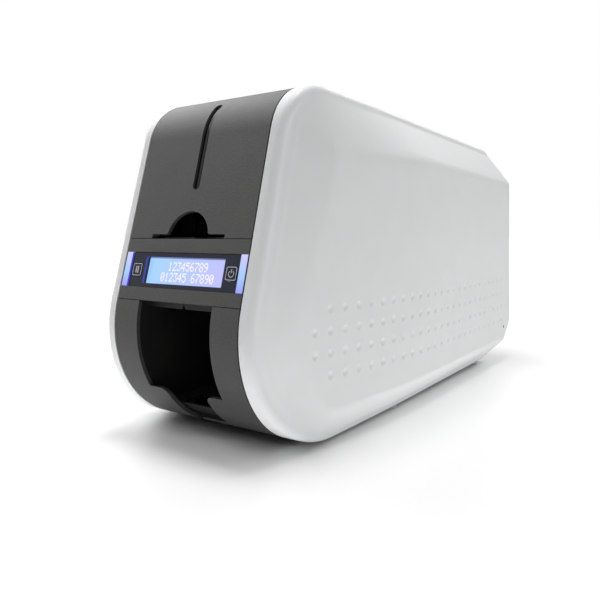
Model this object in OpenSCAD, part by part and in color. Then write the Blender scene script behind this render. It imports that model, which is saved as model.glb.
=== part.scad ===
// Desktop id card printer with a hinged hopper cover and a hinged top cover.
// All lengths are in millimetres. The front faces -Y and +Z is up.
// Side outlines are drawn with y counted back from the foremost point and z from the table.

/* [Body] */
// Overall length from the front to the rear
body_length = 403; // [336:1:484]
// Overall width over the side shells
body_width = 173; // [160:1:208]
// Overall height with the feet
body_height = 223; // [212:1:268]
// Height of the rubber feet
foot_height = 3; // [2:0.5:5]
// Width of the grey centre between the two side shells
centre_width = 101.8; // [101:0.2:112]
// Gap between the centre covers and a side shell
shell_gap = 0.9; // [0.6:0.1:1.5]
// Angle by which the front face leans back
front_lean = 14.7; // [11:0.1:18]
// Radius of the lower front corner, seen from the side
chin_radius = 66; // [50:1:72]
// Radius of the upper front corner, seen from the side
brow_radius = 33; // [24:1:40]

/* [Side shells] */
// Wall of the white side shells
shell_wall = 2.5; // [1.8:0.1:3.2]
// Rounding where a shell turns from the rim to the side
shell_rim_radius = 5; // [3:0.5:7]
// How wide a shell is at its front edge
rim_front_width = 8.9; // [7.5:0.1:12]
// How wide a shell is along its top edge
rim_top_width = 12.2; // [10:0.1:16]
// How wide a shell is along its bottom edge
rim_bottom_width = 16.2; // [14:0.1:20]
// Depth of the sloping band under the top edge, at the rear
top_slope_depth = 36.5; // [25:0.5:45]
// Depth of the tucked band above the bottom edge
bottom_slope_depth = 21; // [16:1:30]

/* [Covers] */
// Wall of the grey covers
cover_wall = 2.5; // [1.8:0.1:3]
// Lower edge of the hopper cover at the front
hopper_cover_z = 126.9; // [120:0.1:134]
// Place of the hopper cover hinge, counted from the front
hopper_hinge_y = 126; // [118:1:140]
// Distance of the top cover hinge from the rear
top_hinge_inset = 29; // [26:1:34]
// Radius of the round hinge edge on each cover
hinge_radius = 4; // [3.6:0.1:4.6]
// Radius of the steel hinge pins
hinge_pin_radius = 1.5; // [1.2:0.1:1.8]
// Radius of the half-moon finger notch
notch_radius = 17.2; // [12:0.1:22]
// Width of the sight slit that shows the cards
slit_width = 5; // [3:0.5:8]
// Height at which the sight slit starts
slit_bottom_z = 157; // [150:1:170]
// Distance back from the front at which the sight slit ends
slit_end_y = 44; // [40:1:60]

/* [Display] */
// Lower edge of the display bezel
bezel_bottom_z = 88.4; // [86:0.1:92]
// Height of the upper band of the bezel
bezel_top_band = 8.4; // [6:0.1:10]
// Height of the glossy panel
panel_height = 22.6; // [20:0.1:24]
// Depth of the glossy panel below the bezel face
panel_recess = 1.2; // [0.5:0.1:2]
// Width of the display window
window_width = 64.5; // [50:0.1:66]
// Height of the display window
window_height = 16; // [12:0.1:18]
// Width of a light bar at the end of the panel
light_bar_width = 4.6; // [3:0.1:6]
// Side of the square push buttons
button_size = 8.5; // [6:0.1:9]
// Place of the push buttons from the middle
button_x = 39.5; // [38:0.1:40]
// Travel of the push buttons
button_travel = 0.7; // [0.4:0.1:0.9]

/* [Output pocket] */
// Half width of the pocket opening
pocket_half = 30.6; // [28:0.1:34]
// Height at which the two lip tabs start
lip_z = 33; // [30:1:40]
// Half width of the finger cut-out between the lip tabs
finger_half = 16.5; // [12:0.5:20]
// Length of the output pocket
pocket_length = 92; // [90:1:96]

/* [Card path] */
// Height of the underside of a card on the upper path
card_z = 128; // [126:0.5:130]
// Width of the card channel
card_channel = 55; // [54.5:0.1:56]
// Radius of the rubber feed rollers
roller_radius = 8; // [7:0.1:8]
// Radius of the exit roller
exit_roller_radius = 6; // [5:0.1:6]
// Radius of the free idler rollers
idler_radius = 5; // [4:0.1:5]
// Radius of the roller shafts
shaft_radius = 3; // [2.5:0.1:3]
// Module of the drive gears
gear_module = 1; // [1:0.1:1]
// Width of the drive gears
gear_width = 4; // [3:0.5:5]
// Radius of the printing ribbon on its supply spool
ribbon_radius = 15; // [11:0.5:15]

/* [Hidden] */

eps = 0.01;
half_length = body_length / 2;
half_centre = centre_width / 2;
shell_inner_x = half_centre + shell_gap;
rim_front_x = shell_inner_x + rim_front_width;
rim_top_x = shell_inner_x + rim_top_width;
rim_bottom_x = shell_inner_x + rim_bottom_width;
round_fn = 96;

// ---------- side outline: six corners, each [y, z, radius] ----------
front_cos = cos(front_lean);
front_sin = sin(front_lean);
front_offset = chin_radius * (1 - front_cos) + front_sin * (foot_height + chin_radius);
function front_y(z) = (front_sin * z - front_offset) / front_cos;
rear_brow_drop = 38;
rear_brow_run = 20;
top_fall = 4;
rear_chin_rise = 35;
rear_chin_run = 43;
corners = [
    [front_y(foot_height), foot_height, chin_radius],
    [front_y(body_height), body_height, brow_radius],
    [body_length - rear_brow_run, body_height - top_fall, 10],
    [body_length, body_height - rear_brow_drop, 16],
    [body_length, foot_height + rear_chin_rise, 16],
    [body_length - rear_chin_run, foot_height, 10]
];
corner_count = len(corners);
function corner(i) = corners[(i + corner_count) % corner_count];
function flat(c) = [c[0], c[1]];
function unit(v) = v / norm(v);
// Outward normal of the edge that starts at corner i
function edge_normal(i) =
    let (along = unit(flat(corner(i + 1)) - flat(corner(i)))) [-along[1], along[0]];
function corner_centre(i) =
    let (a = edge_normal(i - 1), b = edge_normal(i))
    flat(corner(i)) - corner(i)[2] * (a + b) / (1 + a * b);
function tangent(i, n, inset) = corner_centre(i) + (corner(i)[2] - inset) * n;

function turned(n, a) = [n[0] * cos(a) + n[1] * sin(a), n[1] * cos(a) - n[0] * sin(a)];
// Normals that sweep round corner i in equal steps
function corner_normals(i, steps) =
    let (n0 = edge_normal(i - 1), sweep = acos(n0 * edge_normal(i)))
    [for (k = [0 : steps]) turned(n0, sweep * k / steps)];

// The side outline, drawn in by a given distance: true arcs on the two front corners
front_corners = 2;
rear_corner_steps = 8;
module outline(inset = 0) {
    polygon([for (i = [0 : corner_count - 1])
             for (n = corner_normals(i, i < front_corners ? 1 : rear_corner_steps)) tangent(i, n, inset)]);
    for (i = [0 : front_corners - 1])
        translate(corner_centre(i)) circle(corner(i)[2] - inset, $fn = round_fn);
}

// A wall that follows the outline between two insets
module band(outer, inner) {
    difference() {
        outline(outer);
        outline(inner);
    }
}

// Turns a side outline into a solid between two x values
module side_extrude(x0, x1) {
    translate([x0, -half_length, 0])
        rotate([90, 0, 90])
            linear_extrude(x1 - x0)
                children();
}

// Local frame on the leaning front face: x across, y into the printer, z up the face
module on_front(z) {
    translate([0, front_y(z) - half_length, z]) rotate([-front_lean, 0, 0]) children();
}

// Straight round bar along x at a given y and z
module bar(x0, x1, y, z, r) {
    translate([x0, y - half_length, z]) rotate([0, 90, 0]) cylinder(h = x1 - x0, r = r, $fn = 64);
}

// Box given by its x, y and z limits, with y counted from the front
module block(x0, x1, y0, y1, z0, z1) {
    translate([x0, y0 - half_length, z0]) cube([x1 - x0, y1 - y0, z1 - z0]);
}

// Rectangle with rounded corners, centred
module rounded_rect(w, h, r) {
    square([w - 2 * r, h], center = true);
    square([w, h - 2 * r], center = true);
    for (sx = [-1, 1], sy = [-1, 1])
        translate([sx * (w / 2 - r), sy * (h / 2 - r)]) circle(r, $fn = 32);
}

// Rounded rectangle standing on the leaning front face, from one depth to another
module front_block(w, h, r, depth0, depth1) {
    translate([0, depth1, 0])
        rotate([90, 0, 0])
            linear_extrude(depth1 - depth0)
                rounded_rect(w, h, r);
}

// ---------- hinge axes ----------
function top_y_z(y) =
    let (a = flat(corner(1)), b = flat(corner(2))) a[1] + (y - a[0]) * (b[1] - a[1]) / (b[0] - a[0]);
top_hinge_y = body_length - top_hinge_inset;
hopper_hinge_z = top_y_z(hopper_hinge_y) - hinge_radius;
top_hinge_z = top_y_z(top_hinge_y) - hinge_radius;
hinge_seam = 2.8;
hinge_clearance = 0.4;
frame_gap = 4.9;
frame_x = half_centre - frame_gap;
frame_wall = 1.5;
frame_outer_x = frame_x + frame_wall;
ear_radius = hinge_radius - 0.9;
ear_clearance = 0.4;

// The barrel along the rear edge of a cover, and the room for the frame ears at its ends
module hinge_barrel(y, z) {
    bar(-frame_x + 0.5, frame_x - 0.5, y, z, hinge_radius - 0.03);
}

module ear_room(y, z) {
    for (side = [-1, 1])
        bar(side * (frame_x + frame_wall / 2) - frame_wall / 2 - 0.5,
            side * (frame_x + frame_wall / 2) + frame_wall / 2 + 0.5, y, z, ear_radius + ear_clearance);
}

// Room behind a hinge so that the cover in front of it can turn up
module hinge_relief(y, z) {
    bar(-half_centre - 1, half_centre + 1, y, z, hinge_radius + hinge_clearance);
    block(-half_centre - 1, half_centre + 1, y - 10, y + hinge_seam, z, z + 12);
}

// ---------- side shells ----------
chin = corner_centre(0);
brow = corner_centre(1);
flare_start = 0.2;
shell_flare = body_width / 2 - rim_front_x + flare_start;
flare_length = 195;
front_land = 9;
front_slope_low = 0.27;
front_slope_rise = 0.00105;
top_slope_spread = 22;
rear_round = 5;
crease_softness = 2;
function clamp(t) = min(1, max(0, t));
function mix(a, b, t) = a + (b - a) * clamp(t);
function soft_min(a, b, k) = let (h = max(k - abs(a - b), 0) / k) min(a, b) - h * h * k / 4;
// Falls from 1 at the front to 0 where the side stops widening
function taper(y) = pow(1 - clamp(y / flare_length), 2);
// Half width of the raised side panel at a distance from the front
function panel_x(y) = body_width / 2 - shell_flare * taper(y);
// Half width along the sloping bands that run round the panel
function rising_band_x(y, depth, start_x, slope_depth) =
    min(start_x, panel_x(y)) + max(0, panel_x(y) - start_x) * depth / slope_depth;
function top_band_x(y, depth) =
    rising_band_x(y, depth, rim_top_x, top_slope_depth + top_slope_spread * taper(y));
function bottom_band_x(y, depth) = rising_band_x(y, depth, rim_bottom_x, bottom_slope_depth);
function front_band_x(z, depth) =
    rim_front_x + (front_slope_low + front_slope_rise * z) * max(0, depth - front_land);
function edge_x(y, z) =
    let (p = [y, z],
         chin_arm = p - chin,
         brow_arm = p - brow,
         front_depth = (flat(corner(0)) - p) * edge_normal(0),
         top_depth = (flat(corner(1)) - p) * edge_normal(1),
         bottom_depth = z - foot_height,
         face_up = [front_sin, front_cos])
    (chin_arm * face_up < 0 && chin_arm[0] < 0) ?
        let (depth = chin_radius - norm(chin_arm), down = clamp(-chin_arm[1] / max(norm(chin_arm), 1)))
        mix(front_band_x(z, depth), bottom_band_x(y, depth), down * down)
    : (brow_arm * face_up > 0 && brow_arm[0] < 0 && brow_arm[1] > 0) ?
        let (depth = brow_radius - norm(brow_arm),
             up = clamp((brow_arm[1] / max(norm(brow_arm), 1) - front_sin) / (1 - front_sin)))
        mix(front_band_x(z, depth), top_band_x(y, depth), up)
    : min(front_band_x(z, front_depth), top_band_x(y, top_depth), bottom_band_x(y, bottom_depth));
function side_x(y, z) =
    let (rear_x = panel_x(y) - rear_round + (body_length - y))
    soft_min(soft_min(edge_x(y, z), panel_x(y), crease_softness), rear_x, crease_softness);

// The outline as a closed line: [length so far, y, z, normal y, normal z]
arc_steps = 16;
function arc_points(i) = [for (n = corner_normals(i, arc_steps)) concat(tangent(i, n, 0), n)];
outline_points = [for (i = [0 : corner_count]) each (i == corner_count ? [arc_points(0)[0]] : arc_points(i))];
function running(points, k = 1, total = 0, table = []) =
    k > len(points) ? table
    : let (step = k == len(points) ? 0
           : norm([points[k][0] - points[k - 1][0], points[k][1] - points[k - 1][1]]))
      running(points, k + 1, total + step, concat(table, [concat(total, points[k - 1])]));
outline_table = running(outline_points);
outline_total = outline_table[len(outline_table) - 1][0];
tables = [for (c = [1 : 4]) [for (row = outline_table) [row[0], row[c]]]];
function around(s, column) =
    let (t = s - outline_total * floor(s / outline_total)) lookup(t, tables[column]);
function outline_point(s) = [around(s, 0), around(s, 1)];
function outline_normal(s) = unit([around(s, 2), around(s, 3)]);

// The four stretches of the outline that bound the side: front, top, rear, bottom
function arc_middle(i) = outline_table[i * (arc_steps + 1) + arc_steps / 2][0];
stretch_start = [arc_middle(0), arc_middle(1), arc_middle(3), arc_middle(4), arc_middle(0) + outline_total];
grid_long = 26;
grid_high = 14;
function stretch_s(part, t) = mix(stretch_start[part], stretch_start[part + 1], t);
ring_s = [for (part = [0 : 3])
          let (steps = part % 2 == 0 ? grid_high : grid_long)
          for (k = [0 : steps - 1]) stretch_s(part, k / steps)];
ring_count = len(ring_s);

// Smooth filling of the four-sided outline, with u from front to rear and v from bottom to top
function stretch_point(part, t, inset) =
    let (s = stretch_s(part, t)) outline_point(s) - inset * outline_normal(s);
function filled(u, v, inset) =
    let (front = stretch_point(0, v, inset), rear = stretch_point(2, 1 - v, inset),
         top = stretch_point(1, u, inset), bottom = stretch_point(3, 1 - u, inset),
         bf = stretch_point(0, 0, inset), tf = stretch_point(0, 1, inset),
         tr = stretch_point(2, 0, inset), br = stretch_point(2, 1, inset))
    (1 - u) * front + u * rear + (1 - v) * bottom + v * top
    - (1 - u) * (1 - v) * bf - (1 - u) * v * tf - u * v * tr - u * (1 - v) * br;

round_steps = 4;
// One closed ring of the shell: the wall runs out from the inner edge and rounds over the rim
function rim_ring(side, step, wall) =
    [for (s = ring_s)
        let (n = outline_normal(s),
             deep = outline_point(s) - shell_rim_radius * n,
             top_x = side_x(deep[0], deep[1]),
             angle = 90 * max(0, step) / round_steps,
             inset = wall + (shell_rim_radius - wall) * (1 - cos(angle)),
             p = outline_point(s) - inset * n,
             x = step < 0 ? shell_inner_x
                 : top_x - wall - (shell_rim_radius - wall) * (1 - sin(angle)))
        [side * x, p[0] - half_length, p[1]]];
// Inner points of the side, row by row, without the edge that the last ring already holds
function face_points(side, wall) =
    [for (i = [1 : grid_long - 1], j = [1 : grid_high - 1])
        let (p = filled(i / grid_long, j / grid_high, shell_rim_radius))
        [side * (side_x(p[0], p[1]) - wall), p[0] - half_length, p[1]]];
layer_count = (round_steps + 2) * ring_count;
function layer(side, wall) =
    concat([for (step = [-1 : round_steps]) each rim_ring(side, step, wall)], face_points(side, wall));
// Index of a grid point: on the edge it belongs to the last ring
function grid_index(i, j) =
    let (last = (round_steps + 1) * ring_count)
    i == 0 && j < grid_high ? last + j
    : j == grid_high && i < grid_long ? last + grid_high + i
    : i == grid_long && j > 0 ? last + grid_high + grid_long + (grid_high - j)
    : j == 0 && i > 0 ? last + 2 * grid_high + grid_long + (grid_long - i)
    : layer_count + (i - 1) * (grid_high - 1) + j - 1;
function two_triangles(a, b, c, d) = [[a, b, c], [a, c, d]];
layer_faces = concat(
    [for (r = [0 : round_steps], k = [0 : ring_count - 1])
        let (next = (k + 1) % ring_count)
        each two_triangles(r * ring_count + k, r * ring_count + next,
                           (r + 1) * ring_count + next, (r + 1) * ring_count + k)],
    [for (i = [0 : grid_long - 1], j = [0 : grid_high - 1])
        each two_triangles(grid_index(i, j), grid_index(i, j + 1),
                           grid_index(i + 1, j + 1), grid_index(i + 1, j))]);
layer_size = layer_count + (grid_long - 1) * (grid_high - 1);
function reversed(face) = [face[2], face[1], face[0]];
shell_faces = concat(
    layer_faces,
    [for (face = layer_faces) reversed(face) + layer_size * [1, 1, 1]],
    [for (k = [0 : ring_count - 1])
        let (next = (k + 1) % ring_count)
        each two_triangles(k + layer_size, next + layer_size, next, k)]);

module shell_body(side) {
    points = concat(layer(side, 0), layer(side, shell_wall));
    polyhedron(points, side > 0 ? [for (face = shell_faces) reversed(face)] : shell_faces, convexity = 6);
}

module left_shell() {
    color("whitesmoke") shell_body(-1);
}

module right_shell() {
    color("whitesmoke") shell_body(1);
}

// ---------- base, rear and lower front ----------
base_front_y = 62;
base_plate_half = shell_inner_x + 8.2;
base_plate_z = foot_height + shell_wall + 0.3;
base_plate_wall = 2.5;
base_top_z = base_plate_z + base_plate_wall;
base_rear_y = body_length - rear_chin_run - 12;
rear_lap = 20;
seam = 0.4;

module base_tray() {
    color("dimgray")
        difference() {
            union() {
                side_extrude(-half_centre, half_centre)
                    intersection() {
                        band(0, cover_wall);
                        translate([base_front_y, 0]) square([base_rear_y - base_front_y + rear_lap, 15]);
                    }
                block(-base_plate_half, base_plate_half, base_front_y + 12, base_rear_y,
                      base_plate_z, base_top_z);
                block(-half_centre + 4, half_centre - 4, base_front_y + 16, base_rear_y - 6,
                      foot_height + cover_wall - eps, base_plate_z + eps);
            }
            screw_holes(base_plate_z - 1);
        }
}

// The front below the display: two cheeks, two lip tabs and a finger cut-out between them
front_wall = 2.6;
lip_radius = 5;
module lower_front() {
    color("dimgray")
        difference() {
            side_extrude(-half_centre, half_centre)
                intersection() {
                    band(0, front_wall);
                    square([base_front_y - seam, bezel_bottom_z - seam]);
                }
            block(-pocket_half, pocket_half, -5, 25, lip_z, bezel_bottom_z + 5);
            block(-finger_half - lip_radius, finger_half + lip_radius, -5, 25,
                  lip_z - lip_radius, lip_z + eps);
            block(-finger_half, finger_half, -5, 48, -1, lip_z + eps);
        }
    color("dimgray")
        for (side = [-1, 1])
            intersection() {
                side_extrude(-half_centre, half_centre) band(0, front_wall);
                block(min(side * finger_half, side * (finger_half + lip_radius)),
                      max(side * finger_half, side * (finger_half + lip_radius)), -5, 25,
                      lip_z - lip_radius - eps, lip_z);
                translate([side * (finger_half + lip_radius), -half_length, lip_z - lip_radius])
                    rotate([-90, 0, 0]) cylinder(h = 60, r = lip_radius, $fn = 48);
            }
}

// The black tray behind the opening, with low walls where the exit rollers hang over it. Its front
// wraps down behind the finger cut-out, and a notched bar crosses it under the display.
tray_wall = 1.6;
tray_floor_z = 22;
tray_top_z = 79;
tray_half = pocket_half + 1.2;
tray_front_y = 11;
skirt_wall = 1.6;
skirt_rear_y = 58;
exit_bar_y = 10;
exit_bar_wall = 2;
exit_bar_height = 3.2;
exit_bar_drop = 1.5;
exit_bar_notch = 1.5;
module output_tray() {
    color("black")
        difference() {
            intersection() {
                block(-tray_half - tray_wall, tray_half + tray_wall, 0, pocket_length + tray_wall,
                      tray_floor_z - tray_wall, bezel_bottom_z - 1);
                side_extrude(-half_centre, half_centre) outline(front_wall + 0.3);
            }
            block(-tray_half, tray_half, -1, pocket_length, tray_floor_z, bezel_bottom_z);
            block(-half_centre, half_centre, 28, pocket_length + 5, tray_top_z, bezel_bottom_z + 1);
            block(-finger_half, finger_half, -1, 48, tray_floor_z - 5, tray_floor_z + 1);
            block(-half_centre, half_centre, -1, tray_front_y, -1, tray_floor_z + eps);
        }
    color("black")
        for (side = [-1, 1])
            block(min(side * (tray_half + tray_wall - eps), side * (frame_x - 0.3)),
                  max(side * (tray_half + tray_wall - eps), side * (frame_x - 0.3)),
                  60, pocket_length, 40, 42);
    color("black")
        side_extrude(-finger_half - lip_radius, finger_half + lip_radius)
            intersection() {
                band(front_wall + 0.3, front_wall + 0.3 + skirt_wall);
                square([skirt_rear_y, tray_floor_z - eps]);
            }
    color("black")
        translate([0, exit_bar_y + exit_bar_wall - half_length, bezel_bottom_z - exit_bar_drop])
            rotate([90, 0, 0])
                linear_extrude(exit_bar_wall)
                    polygon([[-tray_half - eps, 0], [-tray_half - eps, -exit_bar_height],
                             [-exit_bar_notch, -exit_bar_height], [0, -exit_bar_height + 2 * exit_bar_notch],
                             [exit_bar_notch, -exit_bar_height], [tray_half + eps, -exit_bar_height],
                             [tray_half + eps, 0]]);
}

// ---------- rear panel and its fittings ----------
rear_x = body_length;
rear_wall = cover_wall;
socket_z = 52;
fan_size = 40;
fan_depth = 10;
fan_z = 140;
rocker_x = -30;
inlet_x = -6;
usb_x = 14;
network_x = 34;
fit = 0.3;
module rear_panel() {
    color("dimgray")
        difference() {
            side_extrude(-half_centre, half_centre)
                intersection() {
                    band(0, rear_wall);
                    translate([base_rear_y + rear_lap + seam, 0]) square([body_length, body_height]);
                    difference() {
                        translate([base_rear_y, 0]) square([body_length, body_height + 10]);
                        translate([0, body_height - 60]) square([top_hinge_y + eps, 80]);
                    }
                }
            hinge_relief(top_hinge_y, top_hinge_z);
            block(rocker_x - 10.5, rocker_x + 10.5, rear_x - 6, rear_x + 1, socket_z - 7, socket_z + 7);
            translate([inlet_x, half_length - 6, socket_z])
                rotate([-90, 0, 0]) cylinder(h = 10, r = 5.5 + fit, $fn = 48);
            block(usb_x - 6.3, usb_x + 6.3, rear_x - 6, rear_x + 1, socket_z - 5.8, socket_z + 5.8);
            block(network_x - 8.3, network_x + 8.3, rear_x - 6, rear_x + 1, socket_z - 7, socket_z + 7);
            for (row = [-4 : 4])
                block(-slot_half(row), slot_half(row), rear_x - 6, rear_x + 1,
                      fan_z + row * 4.2 - 1.1, fan_z + row * 4.2 + 1.1);
        }
}
function slot_half(row) = sqrt(pow(fan_size / 2 - 1, 2) - pow(row * 4.2, 2));

rocker_y = rear_x - 4.2;
module power_rocker() {
    color("black")
        translate([rocker_x, rocker_y - half_length, socket_z])
            rotate([0, 90, 0])
                translate([0, 0, -9])
                    linear_extrude(18)
                        difference() {
                            union() {
                                circle(6, $fn = 64);
                                polygon([[-6, 0], [-5.6, 2], [0, 0.8], [5.6, 2], [6, 0]]);
                            }
                            circle(1.55, $fn = 48);
                            translate([-7, -8]) square([14, 4]);
                        }
}

module power_inlet() {
    color("black") {
        difference() {
            translate([inlet_x, half_length - 14, socket_z])
                rotate([-90, 0, 0]) cylinder(h = 14.5, r = 5.5, $fn = 48);
            translate([inlet_x, half_length - 11, socket_z])
                rotate([-90, 0, 0]) cylinder(h = 15, r = 3.2, $fn = 48);
        }
        translate([inlet_x, half_length - 12, socket_z])
            rotate([-90, 0, 0]) cylinder(h = 11, r = 0.9, $fn = 24);
        block(inlet_x - 6.5, inlet_x + 6.5, rear_x - 16, rear_x - rear_wall - 0.3,
              socket_z - 9, socket_z - 5.3);
    }
    rocker_housing();
}

// Housing that carries the rocker on a short steel pivot
module rocker_housing() {
    color("dimgray") {
        difference() {
            block(rocker_x - 10.2, rocker_x + 10.2, rear_x - 13, rear_x, socket_z - 6.8, socket_z + 6.8);
            block(rocker_x - 9.3, rocker_x + 9.3, rear_x - 11, rear_x + 1, socket_z - 6.5, socket_z + 6.5);
        }
        bar(rocker_x - 9.4, rocker_x + 9.4, rocker_y, socket_z, 1.5);
    }
}

module usb_port() {
    color("silver")
        difference() {
            block(usb_x - 6, usb_x + 6, rear_x - 16, rear_x - 0.2, socket_z - 5.5, socket_z + 5.5);
            block(usb_x - 4.3, usb_x + 4.3, rear_x - 12, rear_x + 1, socket_z - 4, socket_z + 4);
        }
    color("white")
        block(usb_x - 2.8, usb_x + 2.8, rear_x - 12.1, rear_x - 2, socket_z - 1.6, socket_z + 1.6);
}

module network_port() {
    color("silver")
        difference() {
            block(network_x - 8, network_x + 8, rear_x - 20, rear_x - 0.2, socket_z - 6.7, socket_z + 6.7);
            block(network_x - 6, network_x + 6, rear_x - 15, rear_x + 1, socket_z - 4, socket_z + 4);
            block(network_x - 3, network_x + 3, rear_x - 15, rear_x + 1, socket_z - 5.6, socket_z - 3.9);
        }
}

fan_rear_y = rear_x - rear_wall - 0.2;
module fan_frame() {
    color("black")
        difference() {
            block(-fan_size / 2, fan_size / 2, fan_rear_y - fan_depth, fan_rear_y,
                  fan_z - fan_size / 2, fan_z + fan_size / 2);
            translate([0, fan_rear_y - fan_depth - 1 - half_length, fan_z])
                rotate([-90, 0, 0]) cylinder(h = fan_depth + 2, r = fan_size / 2 - 1.2, $fn = 72);
        }
    color("black") {
        for (angle = [45 : 90 : 315])
            translate([0, fan_rear_y - half_length, fan_z])
                rotate([0, angle, 0])
                    translate([8, -1.5, -1]) cube([fan_size / 2 - 8, 1.5, 2]);
        translate([0, fan_rear_y - 1.5 - half_length, fan_z])
            rotate([-90, 0, 0]) cylinder(h = 1.5, r = 9, $fn = 48);
        translate([0, fan_rear_y - 8 - half_length, fan_z])
            rotate([-90, 0, 0]) cylinder(h = 7, r = 1, $fn = 32);
    }
}

blade_count = 7;
module fan_rotor() {
    color("dimgray")
        difference() {
            union() {
                translate([0, fan_rear_y - 9 - half_length, fan_z])
                    rotate([-90, 0, 0]) cylinder(h = 7, r = 9, $fn = 48);
                for (k = [0 : blade_count - 1])
                    translate([0, fan_rear_y - 5.5 - half_length, fan_z])
                        rotate([0, k * 360 / blade_count, 0])
                            rotate([28, 0, 0]) translate([8, -0.6, -4]) cube([9.6, 1.2, 8]);
            }
            translate([0, fan_rear_y - 8.2 - half_length, fan_z])
                rotate([-90, 0, 0]) cylinder(h = 9, r = 1.05, $fn = 32);
        }
}

// ---------- hopper cover with its sight slit ----------
slit_depth = 1.4;
slit_low_z = slit_bottom_z + slit_width / 2;
slit_back_y = slit_end_y - slit_width / 2;
// The sight slit with its round ends, drawn in by a given distance
module slit_shape(inset) {
    radius = slit_width / 2 - inset;
    side_extrude(-radius, radius) translate([-1, slit_low_z]) square([slit_back_y + 1, 100]);
    on_front(slit_low_z) translate([0, 10, 0]) rotate([90, 0, 0]) cylinder(h = 20, r = radius, $fn = 48);
    translate([0, slit_back_y - half_length, body_height - 20]) cylinder(h = 30, r = radius, $fn = 48);
}

slot_height = 2.6;
slot_round = 0.8;
notch_fillet = 1.6;
// The card slot with the half-moon finger notch over it, in the plane of the front face
module slot_shape() {
    fillet_z = slot_height + notch_fillet;
    fillet_x = sqrt(pow(notch_radius + notch_fillet, 2) - pow(fillet_z, 2));
    touch = notch_radius / (notch_radius + notch_fillet);
    circle(notch_radius, $fn = round_fn);
    translate([-pocket_half, -5]) square([2 * pocket_half, 5 + slot_height - slot_round]);
    translate([-pocket_half + slot_round, -5])
        square([2 * (pocket_half - slot_round), 5 + slot_height]);
    for (side = [-1, 1]) {
        translate([side * (pocket_half - slot_round), slot_height - slot_round]) circle(slot_round, $fn = 24);
        difference() {
            polygon([[side * fillet_x * touch, fillet_z * touch], [side * fillet_x, slot_height],
                     [side * fillet_x, slot_height - slot_round],
                     [side * fillet_x * touch - side, slot_height - slot_round]]);
            translate([side * fillet_x, fillet_z]) circle(notch_fillet, $fn = 48);
        }
    }
}

module hopper_cover() {
    color("dimgray")
        difference() {
            union() {
                side_extrude(-half_centre, half_centre)
                    intersection() {
                        band(0, cover_wall);
                        translate([0, hopper_cover_z]) square([hopper_hinge_y, body_height]);
                    }
                hinge_barrel(hopper_hinge_y, hopper_hinge_z);
                for (x = [-24, 24])
                    side_extrude(x - 1, x + 1)
                        intersection() {
                            band(cover_wall - eps, cover_wall + 5);
                            translate([0, hopper_cover_z + 20]) square([hopper_hinge_y - 8, 100]);
                        }
            }
            on_front(hopper_cover_z)
                translate([0, 20, 0]) rotate([90, 0, 0]) linear_extrude(30) slot_shape();
            slit_shape(0);
            ear_room(hopper_hinge_y, hopper_hinge_z);
            bar(-frame_x, frame_x, hopper_hinge_y, hopper_hinge_z, hinge_pin_radius + 0.05);
        }
}

module sight_window() {
    color("black") {
        side_extrude(-slit_width / 2 - 2, slit_width / 2 + 2)
            intersection() {
                band(cover_wall + 0.02, cover_wall + 1.2);
                translate([0, slit_bottom_z - 3]) square([slit_end_y + 3, 100]);
            }
        intersection() {
            side_extrude(-slit_width, slit_width) band(slit_depth, cover_wall + 0.1);
            slit_shape(0.2);
        }
    }
}

module hopper_hinge_pin() {
    color("silver")
        bar(-frame_outer_x - 0.8, frame_outer_x + 0.8, hopper_hinge_y, hopper_hinge_z, hinge_pin_radius);
}

// ---------- top cover with the print head under it ----------
head_y = 216;
head_half = 30;
module top_cover() {
    color("dimgray")
        difference() {
            union() {
                side_extrude(-half_centre, half_centre)
                    intersection() {
                        band(0, cover_wall);
                        translate([hopper_hinge_y, body_height / 2])
                            square([top_hinge_y - hopper_hinge_y, body_height]);
                    }
                hinge_barrel(top_hinge_y, top_hinge_z);
                for (x = [-40, 40])
                    side_extrude(x - 1, x + 1)
                        intersection() {
                            band(cover_wall - eps, cover_wall + 4);
                            translate([hopper_hinge_y + 12, body_height / 2])
                                square([top_hinge_y - hopper_hinge_y - 22, body_height]);
                        }
            }
            hinge_relief(hopper_hinge_y, hopper_hinge_z);
            ear_room(top_hinge_y, top_hinge_z);
            bar(-frame_x, frame_x, top_hinge_y, top_hinge_z, hinge_pin_radius + 0.05);
        }
}

module top_hinge_pin() {
    color("silver")
        bar(-frame_outer_x - 0.8, frame_outer_x + 0.8, top_hinge_y, top_hinge_z, hinge_pin_radius);
}

bracket_top_z = top_y_z(head_y + 12) - cover_wall;
bracket_bottom_z = card_z + 12;
module head_bracket() {
    color("silver")
        difference() {
            union() {
                block(-head_half, head_half, head_y + 6, head_y + 8, bracket_bottom_z, bracket_top_z - 1);
                block(-head_half, head_half, head_y - 8, head_y + 12,
                      bracket_top_z - 2.3, bracket_top_z - 0.3);
                for (side = [-1, 1])
                    block(side * (head_half - 1) - 1, side * (head_half - 1) + 1, head_y - 8, head_y + 8,
                          bracket_bottom_z, bracket_top_z - 1);
            }
            for (x = [-14, 14])
                translate([x, head_y - half_length, bracket_bottom_z + 40])
                    rotate([-90, 0, 0]) cylinder(h = 20, r = 8, $fn = 48);
        }
}

fin_count = 11;
module print_head() {
    color("silver") {
        block(-head_half + 2.2, head_half - 2.2, head_y - 6, head_y + 5.8, card_z + 5, bracket_bottom_z + 1);
        for (k = [0 : fin_count - 1])
            let (x = (k - (fin_count - 1) / 2) * 5)
            block(x - 1, x + 1, head_y - 6, head_y + 5.8, bracket_bottom_z, bracket_bottom_z + 12);
    }
    color("peru")
        side_extrude(-27, 27)
            polygon([[head_y - 6, card_z + 5 + eps], [head_y - 2, card_z + 2.2], [head_y + 2, card_z + 2.2],
                     [head_y + 5.8, card_z + 5 + eps]]);
}

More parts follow.
